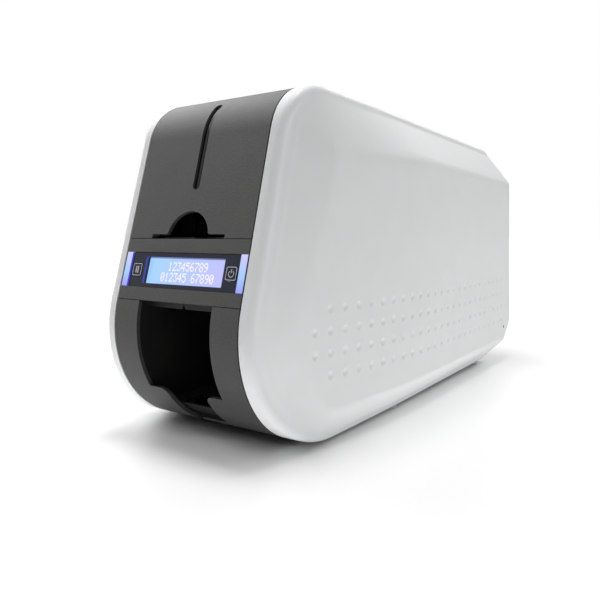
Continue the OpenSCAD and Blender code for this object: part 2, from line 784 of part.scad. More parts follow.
// ---------- display ----------
bezel_top_z = hopper_cover_z - seam;
panel_top_z = bezel_top_z - bezel_top_band;
panel_mid_z = panel_top_z - panel_height * front_cos / 2;
bezel_wall = 3;
recess_half = half_centre - 0.6;
module display_bezel() {
    color("dimgray")
        difference() {
            side_extrude(-half_centre, half_centre)
                intersection() {
                    band(0, bezel_wall);
                    translate([0, bezel_bottom_z]) square([60, bezel_top_z - bezel_bottom_z]);
                }
            on_front(panel_mid_z) front_block(2 * recess_half, panel_height, 0.8, -1, bezel_wall + 2);
        }
}

panel_half = recess_half - light_bar_width - 0.2;
module display_panel() {
    color("midnightblue")
        on_front(panel_mid_z)
            difference() {
                union() {
                    front_block(2 * panel_half, panel_height - 0.2, 0.7, panel_recess, bezel_wall + 0.1);
                    front_block(2 * panel_half, panel_height + 5, 0.7, bezel_wall + 0.05, bezel_wall + 1.2);
                }
                front_block(window_width, window_height, 0.6, 0, 6);
                for (side = [-1, 1])
                    translate([side * button_x, 0, 0])
                        front_block(button_size + 0.6, button_size + 0.6, 1.3, 0, 6);
            }
}

glass_depth = panel_recess + 2.8;
module lcd_module() {
    on_front(panel_mid_z) {
        color("lightskyblue")
            front_block(window_width + 3, window_height + 4, 0.5, bezel_wall + 1.25, glass_depth + 1.2);
        color("silver")
            front_block(window_width + 3, window_height + 8, 0.5, glass_depth + 1.2 - eps, glass_depth + 6);
    }
}

module light_bars() {
    color("lightsteelblue")
        on_front(panel_mid_z)
            for (side = [-1, 1])
                translate([side * (recess_half - light_bar_width / 2), 0, 0])
                    front_block(light_bar_width, panel_height - 0.6, 0.8, 0.5, bezel_wall + 3);
}

board_depth = glass_depth + 6.3;
module button_cap(x) {
    on_front(panel_mid_z)
        translate([x, 0, 0]) {
            front_block(button_size, button_size, 1, panel_recess - 0.2, panel_recess + 2);
            front_block(button_size + 2, button_size + 2, 1, bezel_wall + 1.5, bezel_wall + 2.5);
            front_block(button_size - 1, button_size - 1, 1, panel_recess + 1.9, bezel_wall + 1.6);
            front_block(2.4, 2.4, 0.6, bezel_wall + 2.4, board_depth - button_travel - 0.4);
        }
}

module pause_button() {
    color("midnightblue") button_cap(-button_x);
}

module power_button() {
    color("midnightblue") button_cap(button_x);
}

module display_board() {
    color("darkgreen")
        on_front(panel_mid_z) {
            front_block(2 * half_centre - 14, panel_height + 2, 1, board_depth, board_depth + 1.6);
            for (side = [-1, 1])
                translate([side * (half_centre - 4.4), 0, 0])
                    front_block(6, 8, 1, bezel_wall + 3.3, board_depth + 1.6);
        }
}

// ---------- steel side frames ----------
frame_inset = 6;
frame_front_y = 34;
frame_rear_y = body_length - 22;
frame_flange = 10;
shaft_fit = 0.05;
bush_outer = 5;

window_size = 38;
window_round = 8;
// Lightening windows in each frame: [y, z] of the middle
left_windows = [[190, 84], [234, 84], [278, 84], [290, 160], [332, 160]];
right_windows = [[158, 48], [290, 72], [332, 72], [290, 160], [332, 160]];

module side_frame(side) {
    x0 = side > 0 ? frame_x : -frame_outer_x;
    difference() {
        union() {
            side_extrude(x0, x0 + frame_wall) {
                difference() {
                    intersection() {
                        outline(frame_inset);
                        translate([frame_front_y, base_top_z])
                            square([frame_rear_y - frame_front_y, body_height]);
                    }
                    for (place = side > 0 ? right_windows : left_windows)
                        translate(place) rounded_rect(window_size, window_size, window_round);
                }
                for (pivot = [[hopper_hinge_y, hopper_hinge_z], [top_hinge_y, top_hinge_z]]) {
                    translate(pivot) circle(ear_radius, $fn = 48);
                    translate([pivot[0] - ear_radius, pivot[1] - 12]) square([2 * ear_radius, 12]);
                }
            }
            for (y = flange_places)
                block(min(side * (frame_x + eps), side * (frame_outer_x + frame_flange)),
                      max(side * (frame_x + eps), side * (frame_outer_x + frame_flange)),
                      y - 8, y + 8, base_top_z, base_top_z + frame_wall);
        }
        for (place = rollers) bar(x0 - 1, x0 + frame_wall + 1, place[1], place[2], bush_outer + 0.02);
        bar(x0 - 1, x0 + frame_wall + 1, hopper_hinge_y, hopper_hinge_z, hinge_pin_radius);
        bar(x0 - 1, x0 + frame_wall + 1, top_hinge_y, top_hinge_z, hinge_pin_radius);
        if (side > 0)
            bar(x0 - 1, x0 + frame_wall + 1, motor_y, motor_z, 8);
        screw_holes(base_top_z - 1);
    }
}

module left_frame() {
    color("silver") side_frame(-1);
}

module right_frame() {
    color("silver") side_frame(1);
}

rod_radius = 3;
module tie_rods() {
    color("silver")
        for (place = [[345, 195], [345, 24], [122, 200], [112, 60]])
            bar(-frame_x, frame_x, place[0], place[1], rod_radius);
}

screw_radius = 1.5;
flange_places = [108, body_length - 65];
screw_places = [for (side = [-1, 1], y = flange_places)
                [side * (frame_outer_x + frame_flange / 2 + 1), y - half_length]];
module screw_holes(z) {
    for (place = screw_places)
        translate([place[0], place[1], z]) cylinder(h = 5, r = screw_radius + 0.02, $fn = 32);
}

module screws() {
    color("silver")
        for (place = screw_places)
            translate([place[0], place[1], base_top_z - 2]) {
                cylinder(h = 2 + frame_wall + eps, r = screw_radius, $fn = 32);
                translate([0, 0, 2 + frame_wall]) cylinder(h = 1.8, r = 3, $fn = 32);
            }
}

// ---------- card path ----------
guide_wall = 1.2;
guide_top_z = card_z - 0.6;
card_thickness = 0.8;
path_roll_z = card_z - roller_radius;
idler_z = card_z + card_thickness + idler_radius + 0.2;
pick_y = 100;
feed_y = 140;
platen_y = 215;
ramp_low = [30, 86];
ramp_high = [200, 122];
ramp_angle = atan2(ramp_high[1] - ramp_low[1], ramp_high[0] - ramp_low[0]);

// Gears: number of teeth
driven_teeth = 24;
transport_teeth = 51;
transfer_teeth = 16;
exit_drive_teeth = 30;
exit_teeth = 20;
reduction_teeth = 36;
pinion_teeth = 12;
function gear_distance(a, b) = gear_module * (a + b) / 2;

// Shaft places that follow from the gears
transport_place = [(feed_y + platen_y) / 2, path_roll_z];
transfer_place = [(pick_y + feed_y) / 2, path_roll_z];
exit_reach = gear_distance(driven_teeth, exit_drive_teeth) + gear_distance(exit_drive_teeth, exit_teeth);
exit_y = 60;
exit_z = path_roll_z - sqrt(pow(exit_reach, 2) - pow(pick_y - exit_y, 2));
exit_drive_place = [pick_y, path_roll_z]
    + unit([exit_y - pick_y, exit_z - path_roll_z]) * gear_distance(driven_teeth, exit_drive_teeth);
reduction_place = [platen_y, path_roll_z] + gear_distance(driven_teeth, reduction_teeth) * [0.6, -0.8];
motor_y = reduction_place[0];
motor_z = reduction_place[1] - gear_distance(reduction_teeth, pinion_teeth);
exit_idler_reach = exit_roller_radius + idler_radius + card_thickness + 0.2;
exit_idler_place = [exit_y, exit_z] + exit_idler_reach * [-sin(ramp_angle), cos(ramp_angle)];

// Every roller: [name, y, z, radius]
rollers = [
    ["pick", pick_y, path_roll_z, roller_radius],
    ["feed", feed_y, path_roll_z, roller_radius],
    ["platen", platen_y, path_roll_z, roller_radius],
    ["exit", exit_y, exit_z, exit_roller_radius],
    ["feed_idler", feed_y, idler_z, idler_radius],
    ["cleaning", 163, idler_z, idler_radius],
    ["exit_idler", exit_idler_place[0], exit_idler_place[1], idler_radius]
];
roller_half = 25;
gear_x = frame_outer_x + 2;

// A rubber sleeve on a steel shaft that runs in a bush at each side
module roller(place, right_end, tint) {
    color(tint) bar(-roller_half, roller_half, place[1], place[2], place[3]);
    color("silver") {
        bar(-frame_outer_x - 1, right_end, place[1], place[2], shaft_radius);
    }
}
long_end = gear_x + gear_width;
short_end = frame_outer_x + 1;

module pick_roller() { roller(rollers[0], long_end, "gray"); }
module feed_roller() { roller(rollers[1], long_end, "gray"); }
module platen_roller() { roller(rollers[2], long_end, "gray"); }
module exit_roller() { roller(rollers[3], long_end, "gray"); }
module feed_idler() { roller(rollers[4], short_end, "gray"); }
module cleaning_roller() { roller(rollers[5], short_end, "royalblue"); }
module exit_idler() { roller(rollers[6], short_end, "gray"); }

module bushings() {
    color("goldenrod")
        for (place = rollers, side = [-1, 1])
            difference() {
                bar(side > 0 ? frame_x : -frame_outer_x - 0.3, side > 0 ? frame_outer_x + 0.3 : -frame_x,
                    place[1], place[2], bush_outer);
                bar(-frame_outer_x - 2, frame_outer_x + 2, place[1], place[2], shaft_radius + shaft_fit);
            }
}

// Flat floor of the upper path, with windows for the rollers and the diverter
flap_front_y = 172;
flap_length = 26;
flap_half = 26;
guide_front_y = 36;
guide_rear_y = 300;
fence_height = 2.2;
module card_guide() {
    color("silver")
        difference() {
            union() {
                block(-frame_x + 0.3, frame_x - 0.3, guide_front_y, guide_rear_y,
                      guide_top_z - guide_wall, guide_top_z);
                for (side = [-1, 1])
                    block(side * (card_channel / 2 + 0.6) - 0.6, side * (card_channel / 2 + 0.6) + 0.6,
                          hopper_rear_y + 4, guide_rear_y, guide_top_z - eps, card_z + fence_height - 0.6);
            }
            for (y = [pick_y, feed_y, platen_y])
                block(-roller_half - 0.6, roller_half + 0.6, y - 6, y + 6,
                      guide_top_z - 5, guide_top_z + 0.1);
            block(-flap_half - 0.5, flap_half + 0.5, flap_front_y - 2.6, flap_front_y + flap_length + 4,
                  guide_top_z - 5, guide_top_z + 0.1);
            block(-finger_half, finger_half, guide_front_y - 1, 62, guide_top_z - 5, guide_top_z + 1);
        }
}

// Sloping floor of the way out, under the upper path
module exit_ramp() {
    color("silver")
        difference() {
            side_extrude(-frame_x + 0.3, frame_x - 0.3)
                polygon([ramp_low, ramp_high, ramp_high - [0, guide_wall], ramp_low - [0, guide_wall]]);
            bar(-roller_half - 0.6, roller_half + 0.6, exit_y, exit_z, exit_roller_radius + 0.8);
            block(-half_centre, half_centre, 0, frame_front_y + 1, exit_z - 5, exit_z + 20);
        }
    color("silver")
        side_extrude(-frame_x + 0.3, frame_x - 0.3)
            intersection() {
                polygon([ramp_low, ramp_high, ramp_high - [0, guide_wall], ramp_low - [0, guide_wall]]);
                square([frame_front_y + 1.01, 120]);
            }
}

module diverter_flap() {
    color("black")
        difference() {
            union() {
                block(-flap_half, flap_half, flap_front_y, flap_front_y + flap_length,
                      guide_top_z - guide_wall, guide_top_z);
                bar(-flap_half, flap_half, flap_front_y, guide_top_z - 1.9, 1.9);
            }
            bar(-flap_half - 1, flap_half + 1, flap_front_y, guide_top_z - 1.9, 1.05);
        }
}

// ---------- card hopper and weight ----------
hopper_front_y = 38;
hopper_rear_y = hopper_front_y + 87.5;
hopper_wall = 1.6;
hopper_top_z = 196;
module card_hopper() {
    color("black") {
        difference() {
            union() {
                for (side = [-1, 1])
                    block(side * (card_channel + hopper_wall) / 2 - hopper_wall / 2,
                          side * (card_channel + hopper_wall) / 2 + hopper_wall / 2,
                          hopper_front_y, hopper_rear_y + hopper_wall, guide_top_z + 0.1, hopper_top_z);
                block(-card_channel / 2, card_channel / 2, hopper_rear_y, hopper_rear_y + hopper_wall,
                      guide_top_z + 0.1, hopper_top_z);
                for (side = [-1, 1])
                    block(min(side * card_channel / 2, side * (card_channel / 2 - 9)),
                          max(side * card_channel / 2, side * (card_channel / 2 - 9)),
                          hopper_front_y, hopper_front_y + hopper_wall, card_z + 3, hopper_top_z - 14);
                for (side = [-1, 1])
                    block(min(side * card_channel / 2, side * (frame_x - 0.3)),
                          max(side * card_channel / 2, side * (frame_x - 0.3)),
                          hopper_front_y + 20, hopper_rear_y + hopper_wall,
                          hopper_top_z - hopper_wall, hopper_top_z);
            }
            block(-card_channel / 2 - 0.1, card_channel / 2 + 0.1, hopper_rear_y - 1, hopper_rear_y + 5,
                  guide_top_z - 1, card_z + 1.2);
            intersection() {
                side_extrude(-half_centre, half_centre)
                    difference() {
                        square([140, 260]);
                        outline(cover_wall + 6);
                    }
                block(-half_centre, half_centre, 0, 140, 0, 260);
            }
            for (side = [-1, 1])
                block(side * card_channel / 2 - 4, side * card_channel / 2 + 4, hopper_front_y + 30,
                      hopper_front_y + 60, card_z + 26, hopper_top_z - 20);
        }
    }
}

weight_rest_z = card_z + 1.5;
weight_wall = 8;
module card_weight() {
    color("black")
        difference() {
            block(-card_channel / 2 + 0.5, card_channel / 2 - 0.5, hopper_front_y + 4, hopper_rear_y - 0.6,
                  weight_rest_z, weight_rest_z + weight_wall);
            block(-12, 12, hopper_front_y, hopper_front_y + 14,
                  weight_rest_z - 1, weight_rest_z + weight_wall + 1);
            block(-roller_half, roller_half, pick_y - 12, pick_y + 12,
                  weight_rest_z + 3, weight_rest_z + weight_wall + 1);
        }
}

// ---------- ribbon cartridge ----------
supply_y = 262;
takeup_y = 174;
spool_z = card_z + 31;
spool_core = 6.5;
takeup_radius = 9;
cartridge_half = 36;
cartridge_wall = 2;
module ribbon_cartridge() {
    color("ghostwhite")
        difference() {
            union() {
                for (side = [-1, 1])
                    side_extrude(side * (cartridge_half - 1) - cartridge_wall / 2,
                                 side * (cartridge_half - 1) + cartridge_wall / 2) {
                        translate([takeup_y, spool_z]) circle(12, $fn = 48);
                        translate([supply_y, spool_z]) circle(12, $fn = 48);
                        translate([takeup_y, spool_z - 5]) square([supply_y - takeup_y, 10]);
                    }
                for (y = [takeup_y + 17, supply_y - 22])
                    bar(-cartridge_half + 1, cartridge_half - 1, y, spool_z, 3);
                for (side = [-1, 1], y = [takeup_y + 17, supply_y - 22])
                    bar(min(side * (cartridge_half - 1), side * (frame_x - 0.3)),
                        max(side * (cartridge_half - 1), side * (frame_x - 0.3)), y, spool_z, 3);
            }
            for (y = [takeup_y, supply_y])
                bar(-cartridge_half - 1, cartridge_half + 1, y, spool_z, shaft_radius + shaft_fit);
        }
}

// A spool core with its journals and the film wound on it
module spool(y, film_radius, tint) {
    color("white") {
        bar(-cartridge_half + 3, cartridge_half - 3, y, spool_z, spool_core);
        bar(-cartridge_half - 0.6, cartridge_half + 0.6, y, spool_z, shaft_radius);
    }
    color(tint) bar(-29, 29, y, spool_z, film_radius);
}

module supply_spool() { spool(supply_y, ribbon_radius, "gold"); }
module takeup_spool() { spool(takeup_y, takeup_radius, "darkslateblue"); }

film = 0.25;
film_low_z = card_z + 1.5;
module ribbon_film() {
    color("goldenrod")
        side_extrude(-26.8, 26.8) {
            polygon([[supply_y - 11.4, spool_z - 10.8], [head_y + 14, film_low_z],
                     [head_y + 14, film_low_z - film], [supply_y - 11.2, spool_z - 11.1]]);
            translate([head_y - 14, film_low_z - film]) square([28.02, film]);
            polygon([[takeup_y + 7.4, spool_z - 6.4], [head_y - 14 + eps, film_low_z],
                     [head_y - 14 + eps, film_low_z - film], [takeup_y + 7.2, spool_z - 6.7]]);
        }
}

// ---------- drive train ----------
pressure_angle = 20;
tooth_play = 0.12;
involute_steps = 3;
function involute_turn(angle) = tan(angle) * 180 / PI - angle;
function direction(angle) = [cos(angle), sin(angle)];
// Outline points of a spur gear whose first tooth points along the first axis
function gear_points(teeth) =
    let (pitch_r = gear_module * teeth / 2,
         base_r = pitch_r * cos(pressure_angle),
         tip_r = pitch_r + gear_module * 0.95,
         root_r = pitch_r - gear_module * 1.25,
         start_r = max(base_r, root_r + 0.1),
         half_tooth = 90 / teeth - tooth_play / pitch_r * 90 / PI,
         flank = [for (k = [0 : involute_steps])
             let (r = start_r + (tip_r - start_r) * k / involute_steps,
                  angle = acos(min(1, base_r / r)))
             [r, half_tooth + involute_turn(pressure_angle) - involute_turn(angle)]])
    [for (t = [0 : teeth - 1])
        let (centre = 360 * t / teeth)
        each concat(
            [root_r * direction(centre - flank[0][1] - 1)],
            [for (k = [0 : involute_steps]) flank[k][0] * direction(centre - flank[k][1])],
            [for (k = [involute_steps : -1 : 0]) flank[k][0] * direction(centre + flank[k][1])],
            [root_r * direction(centre + flank[0][1] + 1)])];

// Turn of a gear that meshes with one already placed, along a line at a given angle
function meshed(turn, teeth, line, next_teeth) =
    line + 180 + 180 / next_teeth - (turn - line) * teeth / next_teeth;
function line_angle(a, b) = atan2(b[1] - a[1], b[0] - a[0]);
platen_place = [platen_y, path_roll_z];
feed_place = [feed_y, path_roll_z];
pick_place = [pick_y, path_roll_z];
exit_place = [exit_y, exit_z];
motor_place = [motor_y, motor_z];
platen_turn = 0;
transport_turn =
    meshed(platen_turn, driven_teeth, line_angle(platen_place, transport_place), transport_teeth);
feed_turn = meshed(transport_turn, transport_teeth, line_angle(transport_place, feed_place), driven_teeth);
transfer_turn = meshed(feed_turn, driven_teeth, line_angle(feed_place, transfer_place), transfer_teeth);
pick_turn = meshed(transfer_turn, transfer_teeth, line_angle(transfer_place, pick_place), driven_teeth);
exit_drive_turn = meshed(pick_turn, driven_teeth, line_angle(pick_place, exit_drive_place), exit_drive_teeth);
exit_turn = meshed(exit_drive_turn, exit_drive_teeth, line_angle(exit_drive_place, exit_place), exit_teeth);
reduction_turn =
    meshed(platen_turn, driven_teeth, line_angle(platen_place, reduction_place), reduction_teeth);
pinion_turn = meshed(reduction_turn, reduction_teeth, line_angle(reduction_place, motor_place), pinion_teeth);

module gear(place, teeth, turn, bore) {
    side_extrude(gear_x, gear_x + gear_width)
        translate(place)
            difference() {
                rotate(turn) polygon(gear_points(teeth));
                circle(bore, $fn = 48);
                if (teeth >= 24)
                    for (k = [0 : 4])
                        rotate(k * 72)
                            translate([gear_module * teeth / 4 + 1.2, 0])
                                circle(gear_module * teeth / 16, $fn = 32);
            }
}
pin_bore = 2.05;
hub_bore = shaft_radius + 0.02;
module platen_gear() { color("ivory") gear(platen_place, driven_teeth, platen_turn, hub_bore); }
module feed_gear() { color("ivory") gear(feed_place, driven_teeth, feed_turn, hub_bore); }
module pick_gear() { color("ivory") gear(pick_place, driven_teeth, pick_turn, hub_bore); }
module exit_gear() { color("ivory") gear(exit_place, exit_teeth, exit_turn, hub_bore); }
module transport_gear() { color("ivory") gear(transport_place, transport_teeth, transport_turn, pin_bore); }
module transfer_gear() { color("ivory") gear(transfer_place, transfer_teeth, transfer_turn, pin_bore); }
module exit_drive_gear() {
    color("ivory") gear(exit_drive_place, exit_drive_teeth, exit_drive_turn, pin_bore);
}
module reduction_gear() { color("ivory") gear(reduction_place, reduction_teeth, reduction_turn, pin_bore); }
module motor_pinion() {
    color("goldenrod") gear(motor_place, pinion_teeth, pinion_turn, 1.6);
    color("silver") bar(frame_x - 1, gear_x + gear_width, motor_y, motor_z, 1.6);
}

// Stub pins riveted in the right frame carry the idle gears
module gear_pins() {
    color("silver")
        for (place = [transport_place, transfer_place, exit_drive_place, reduction_place]) {
            bar(frame_outer_x, gear_x + gear_width + 0.4, place[0], place[1], pin_bore - 0.05);
            bar(frame_outer_x, gear_x - 0.3, place[0], place[1], 3.5);
            bar(gear_x + gear_width + 0.3, gear_x + gear_width + 1.1, place[0], place[1], 3.2);
        }
}

motor_radius = 19;
motor_length = 42;
module drive_motor() {
    color("dimgray")
        difference() {
            union() {
                bar(frame_x - motor_length, frame_x - 2, motor_y, motor_z, motor_radius);
                bar(frame_x - 2.1, frame_x + 0.2, motor_y, motor_z, 7.6);
                bar(frame_x - motor_length - 4, frame_x - motor_length + 0.1, motor_y, motor_z, 5);
            }
            bar(frame_x - 4, frame_x + 1, motor_y, motor_z, 1.65);
        }
    color("silver")
        block(frame_x - 2, frame_x - 0.3, motor_y - 24, motor_y - 8.5, motor_z - 12, motor_z + 12);
    color("silver")
        block(frame_x - 2, frame_x - 0.3, motor_y + 8.5, motor_y + 24, motor_z - 12, motor_z + 12);
}

// ---------- electronics on the left frame ----------
board_x = frame_outer_x + 5;
module main_board() {
    color("darkgreen")
        block(-board_x - 1.6, -board_x, 150, 320, 40, 128);
    color("goldenrod")
        for (y = [156, 314], z = [46, 122])
            bar(-board_x, -frame_outer_x, y, z, 2.5);
    color("black") {
        for (y = [176, 212, 248])
            block(-board_x - 4, -board_x - 1.5, y, y + 18, 84, 102);
        block(-board_x - 9, -board_x - 1.5, 270, 310, 56, 66);
        block(-board_x - 9, -board_x - 1.5, 168, 208, 52, 60);
    }
    color("silver")
        for (y = [226, 240, 254])
            translate([-board_x - 1.5, y - half_length, 62])
                rotate([0, -90, 0]) cylinder(h = 11, r = 5, $fn = 32);
}

// ---------- feet ----------
foot_radius = 5;
foot_inset = 3;
foot_x = rim_bottom_x - foot_inset;
foot_places = [158, body_length - 60];
module feet() {
    color("lightgray")
        for (side = [-1, 1], y = foot_places)
            translate([side * foot_x, y - half_length, 0])
                rotate_extrude($fn = 48)
                    polygon([[0, 0], [foot_radius - 0.8, 0], [foot_radius, 0.8],
                             [foot_radius, foot_height], [0, foot_height]]);
}

left_shell();
right_shell();
base_tray();
hopper_cover();
sight_window();
hopper_hinge_pin();
top_cover();
top_hinge_pin();
head_bracket();
print_head();
display_bezel();
display_panel();
lcd_module();
light_bars();
pause_button();
power_button();
display_board();
lower_front();
output_tray();
rear_panel();
power_rocker();
power_inlet();
usb_port();
network_port();
fan_frame();
fan_rotor();
left_frame();
right_frame();
tie_rods();
card_hopper();
card_weight();
card_guide();
exit_ramp();
diverter_flap();
pick_roller();
feed_roller();
platen_roller();
exit_roller();
feed_idler();
cleaning_roller();
exit_idler();
pick_gear();
feed_gear();
platen_gear();
exit_gear();
transport_gear();
transfer_gear();
exit_drive_gear();
reduction_gear();
motor_pinion();
drive_motor();
gear_pins();
bushings();
ribbon_cartridge();
supply_spool();
takeup_spool();
ribbon_film();
main_board();
feet();
screws();
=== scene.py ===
import math

import bpy
import numpy as np
from mathutils import Matrix, Vector


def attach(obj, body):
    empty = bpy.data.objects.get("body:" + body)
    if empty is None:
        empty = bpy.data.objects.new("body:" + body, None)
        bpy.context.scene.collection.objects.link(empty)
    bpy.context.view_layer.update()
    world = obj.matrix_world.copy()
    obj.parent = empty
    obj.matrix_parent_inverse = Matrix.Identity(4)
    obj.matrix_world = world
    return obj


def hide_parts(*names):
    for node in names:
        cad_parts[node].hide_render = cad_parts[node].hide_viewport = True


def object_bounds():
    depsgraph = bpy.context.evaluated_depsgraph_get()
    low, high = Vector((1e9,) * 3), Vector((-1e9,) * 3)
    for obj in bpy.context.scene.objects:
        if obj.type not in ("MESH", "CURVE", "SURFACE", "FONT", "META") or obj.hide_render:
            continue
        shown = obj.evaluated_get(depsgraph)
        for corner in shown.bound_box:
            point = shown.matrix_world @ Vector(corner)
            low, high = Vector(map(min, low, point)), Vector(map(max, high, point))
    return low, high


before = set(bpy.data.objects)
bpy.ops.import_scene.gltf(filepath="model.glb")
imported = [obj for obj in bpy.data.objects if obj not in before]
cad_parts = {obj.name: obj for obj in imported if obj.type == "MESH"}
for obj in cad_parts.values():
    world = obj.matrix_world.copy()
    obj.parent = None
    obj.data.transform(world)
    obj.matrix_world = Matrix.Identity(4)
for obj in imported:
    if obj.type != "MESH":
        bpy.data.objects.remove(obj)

CAD_BOX = [list(corner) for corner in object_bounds()]
MM = 0.001

# --------------------------------------------------------------------
# Table and studio. The printer stands on a plain white table under soft boxes overhead and on its left,
# with weak ones on its right and behind it, seen from the front corner at display height.
CAMERA_PLACE = (0.2664, -0.4555, 0.1286)
CAMERA_TURN = 34.43
CAMERA_LENS = 36.4
CAMERA_SHIFT = -0.1077
TABLE_SIZE = 40.0
TABLE_FADE = (0.45, 2.2)
TABLE_GLOW = (0.13, 1.0)
BOUNCE_FADE = (0.2, 0.9)
TABLE_BOUNCE = 0.58
SHADE_HALVES = (0.062, 0.15)
SHADE_REACH = 0.03
SOFT_BOXES = [
    # Name, place, what it points at, width in metres, watts
    ("overhead_softbox", (0, 0, 1.5), (0, 0, 0.1), 0.5, 11.4),
    ("left_softbox", (-1.05, 0.15, 1.2), (0, -0.15, 0.2), 0.9, 6.7),
    ("left_low_softbox", (-1.3, -0.1, 0.7), (0, -0.1, 0.15), 0.9, 4.2),
    ("front_left_softbox", (-0.6, -0.6, 1.3), (0, -0.1, 0.1), 0.8, 3.1),
    ("front_softbox", (0, -0.5, 1.4), (0, -0.1, 0.1), 0.8, 2.0),
    ("rear_softbox", (0, 1.5, 1.2), (0, 0, 0.15), 0.9, 2.6),
    ("right_softbox", (0.8, 0.2, 1.5), (0.3, 0.1, 0), 0.7, 2.8),
    ("right_rear_softbox", (1.3, 1.1, 0.5), (0, 0, 0.1), 0.9, 1.2),
    ("front_right_softbox", (0.7, -1.2, 0.7), (0, -0.15, 0.1), 0.7, 0.7),
    ("right_low_softbox", (1.5, 0.1, 0.25), (0, 0, 0.1), 0.8, 1.4),
]


def fresh(kind, name):
    """A new material or world with an empty node tree."""
    block = kind.new(name)
    block.use_nodes = True
    block.node_tree.nodes.clear()
    return block, block.node_tree.nodes, block.node_tree.links


def surface(nodes, links, shader, output="ShaderNodeOutputMaterial"):
    links.new(shader, nodes.new(output).inputs["Surface"])


def principled(nodes, levels):
    """The common shader with some of its inputs set to plain values."""
    shader = nodes.new("ShaderNodeBsdfPrincipled")
    for socket, level in levels.items():
        shader.inputs[socket].default_value = level
    return shader


def maths(nodes, links, operation, *values):
    """The result of one maths node, whose inputs are sockets or plain numbers."""
    node = nodes.new("ShaderNodeMath")
    node.operation = operation
    for place, value in enumerate(values):
        if isinstance(value, (int, float)):
            node.inputs[place].default_value = value
        else:
            links.new(value, node.inputs[place])
    return node.outputs[0]


def mapped(nodes, links, value, reach, levels=(0.0, 1.0), kind="LINEAR"):
    """Carries a value from one level to another while it crosses a reach."""
    node = nodes.new("ShaderNodeMapRange")
    node.interpolation_type = kind
    for socket, level in zip(("From Min", "From Max", "To Min", "To Max"), (*reach, *levels)):
        node.inputs[socket].default_value = level
    links.new(value, node.inputs["Value"])
    return node.outputs["Result"]


def own_place(nodes, links):
    """A piece's own x, y and z, in metres, as three sockets."""
    split = nodes.new("ShaderNodeSeparateXYZ")
    links.new(nodes.new("ShaderNodeTexCoord").outputs["Object"], split.inputs[0])
    return split.outputs


def seen_or_mirrored(nodes, links):
    """1 for rays from the camera, or by way of gloss or glass; 0 for the light that falls on things."""
    ray = nodes.new("ShaderNodeLightPath").outputs
    seen = maths(nodes, links, "MAXIMUM", ray["Is Camera Ray"], ray["Is Glossy Ray"])
    return maths(nodes, links, "MAXIMUM", seen, ray["Is Transmission Ray"])


def studio_world():
    """A white backdrop that is seen and mirrored, but lights nothing."""
    world, nodes, links = fresh(bpy.data.worlds, "studio_world")
    backdrop = nodes.new("ShaderNodeBackground")
    backdrop.inputs["Color"].default_value = (1, 1, 1, 1)
    links.new(seen_or_mirrored(nodes, links), backdrop.inputs["Strength"])
    surface(nodes, links, backdrop.outputs[0], "ShaderNodeOutputWorld")
    return world


def outside_painted_shade(nodes, links):
    """0 under the printer's sole, rising to 1 a little way outside it: it keeps the table's glow off under
    the printer, which paints shade there.
    """
    place = own_place(nodes, links)
    beyond = [maths(nodes, links, "SUBTRACT", maths(nodes, links, "ABSOLUTE", place[axis]), half)
              for axis, half in enumerate(SHADE_HALVES)]
    return mapped(nodes, links, maths(nodes, links, "MAXIMUM", *beyond), (0, SHADE_REACH), kind="SMOOTHSTEP")


def table_material():
    """White laminate that takes soft shadows near the printer, throws light up at its sides, and fades
    into the backdrop far away. Its glow is painted light: seen by the camera it lifts the shadows near the
    printer, for diffuse rays it throws up light in place of bounce, and under the sole it is held off, which
    paints shade there."""
    material, nodes, links = fresh(bpy.data.materials, "white_table")
    laminate = principled(nodes, {"Base Color": (0.93, 0.93, 0.93, 1), "Roughness": 0.35,
                                  "Specular IOR Level": 0.35})
    away = nodes.new("ShaderNodeVectorMath")
    away.operation = "LENGTH"
    links.new(nodes.new("ShaderNodeTexCoord").outputs["Object"], away.inputs[0])
    distance = away.outputs["Value"]
    # Painted light: a glow seen by the camera, weak near the printer where it lifts the shadows, full far
    # away where the table meets the backdrop.
    seen = maths(nodes, links, "MULTIPLY", seen_or_mirrored(nodes, links),
                 mapped(nodes, links, distance, TABLE_FADE, TABLE_GLOW, "SMOOTHSTEP"))
    # Painted light: near the printer the table glows for diffuse rays, standing in for light bounced up onto
    # its sides.
    thrown = maths(nodes, links, "MULTIPLY", nodes.new("ShaderNodeLightPath").outputs["Is Diffuse Ray"],
                   mapped(nodes, links, distance, BOUNCE_FADE, (TABLE_BOUNCE, 0), "SMOOTHSTEP"))
    glow = nodes.new("ShaderNodeEmission")
    glow.inputs["Color"].default_value = (1, 1, 1, 1)
    # Painted shade: both glows are held off under the printer's sole.
    links.new(maths(nodes, links, "MULTIPLY", maths(nodes, links, "ADD", seen, thrown),
                    outside_painted_shade(nodes, links)), glow.inputs["Strength"])
    both = nodes.new("ShaderNodeAddShader")
    links.new(laminate.outputs[0], both.inputs[0])
    links.new(glow.outputs[0], both.inputs[1])
    surface(nodes, links, both.outputs[0])
    return material


def area_light(name, place, target, size, power):
    data = bpy.data.lights.new(name, "AREA")
    data.size = size
    data.energy = power
    lamp = bpy.data.objects.new(name, data)
    lamp.location = place
    lamp.rotation_euler = (Vector(target) - Vector(place)).to_track_quat("-Z", "Y").to_euler()
    bpy.context.scene.collection.objects.link(lamp)


bpy.context.scene.view_settings.view_transform = "Standard"
bpy.context.scene.world = studio_world()
bpy.ops.object.select_all(action="DESELECT")
bpy.ops.mesh.primitive_plane_add(size=TABLE_SIZE, location=(0, 0, 0))
table = bpy.context.object
table.name = "table"
table.data.materials.append(table_material())
for soft_box in SOFT_BOXES:
    area_light(*soft_box)

camera_data = bpy.data.cameras.new("camera")
camera_data.lens = CAMERA_LENS
camera_data.shift_y = CAMERA_SHIFT
camera_data.clip_start = 0.01
camera = bpy.data.objects.new("camera", camera_data)
camera.location = CAMERA_PLACE
camera.rotation_euler = (math.radians(90), 0, math.radians(CAMERA_TURN))
bpy.context.scene.collection.objects.link(camera)
bpy.context.scene.camera = camera
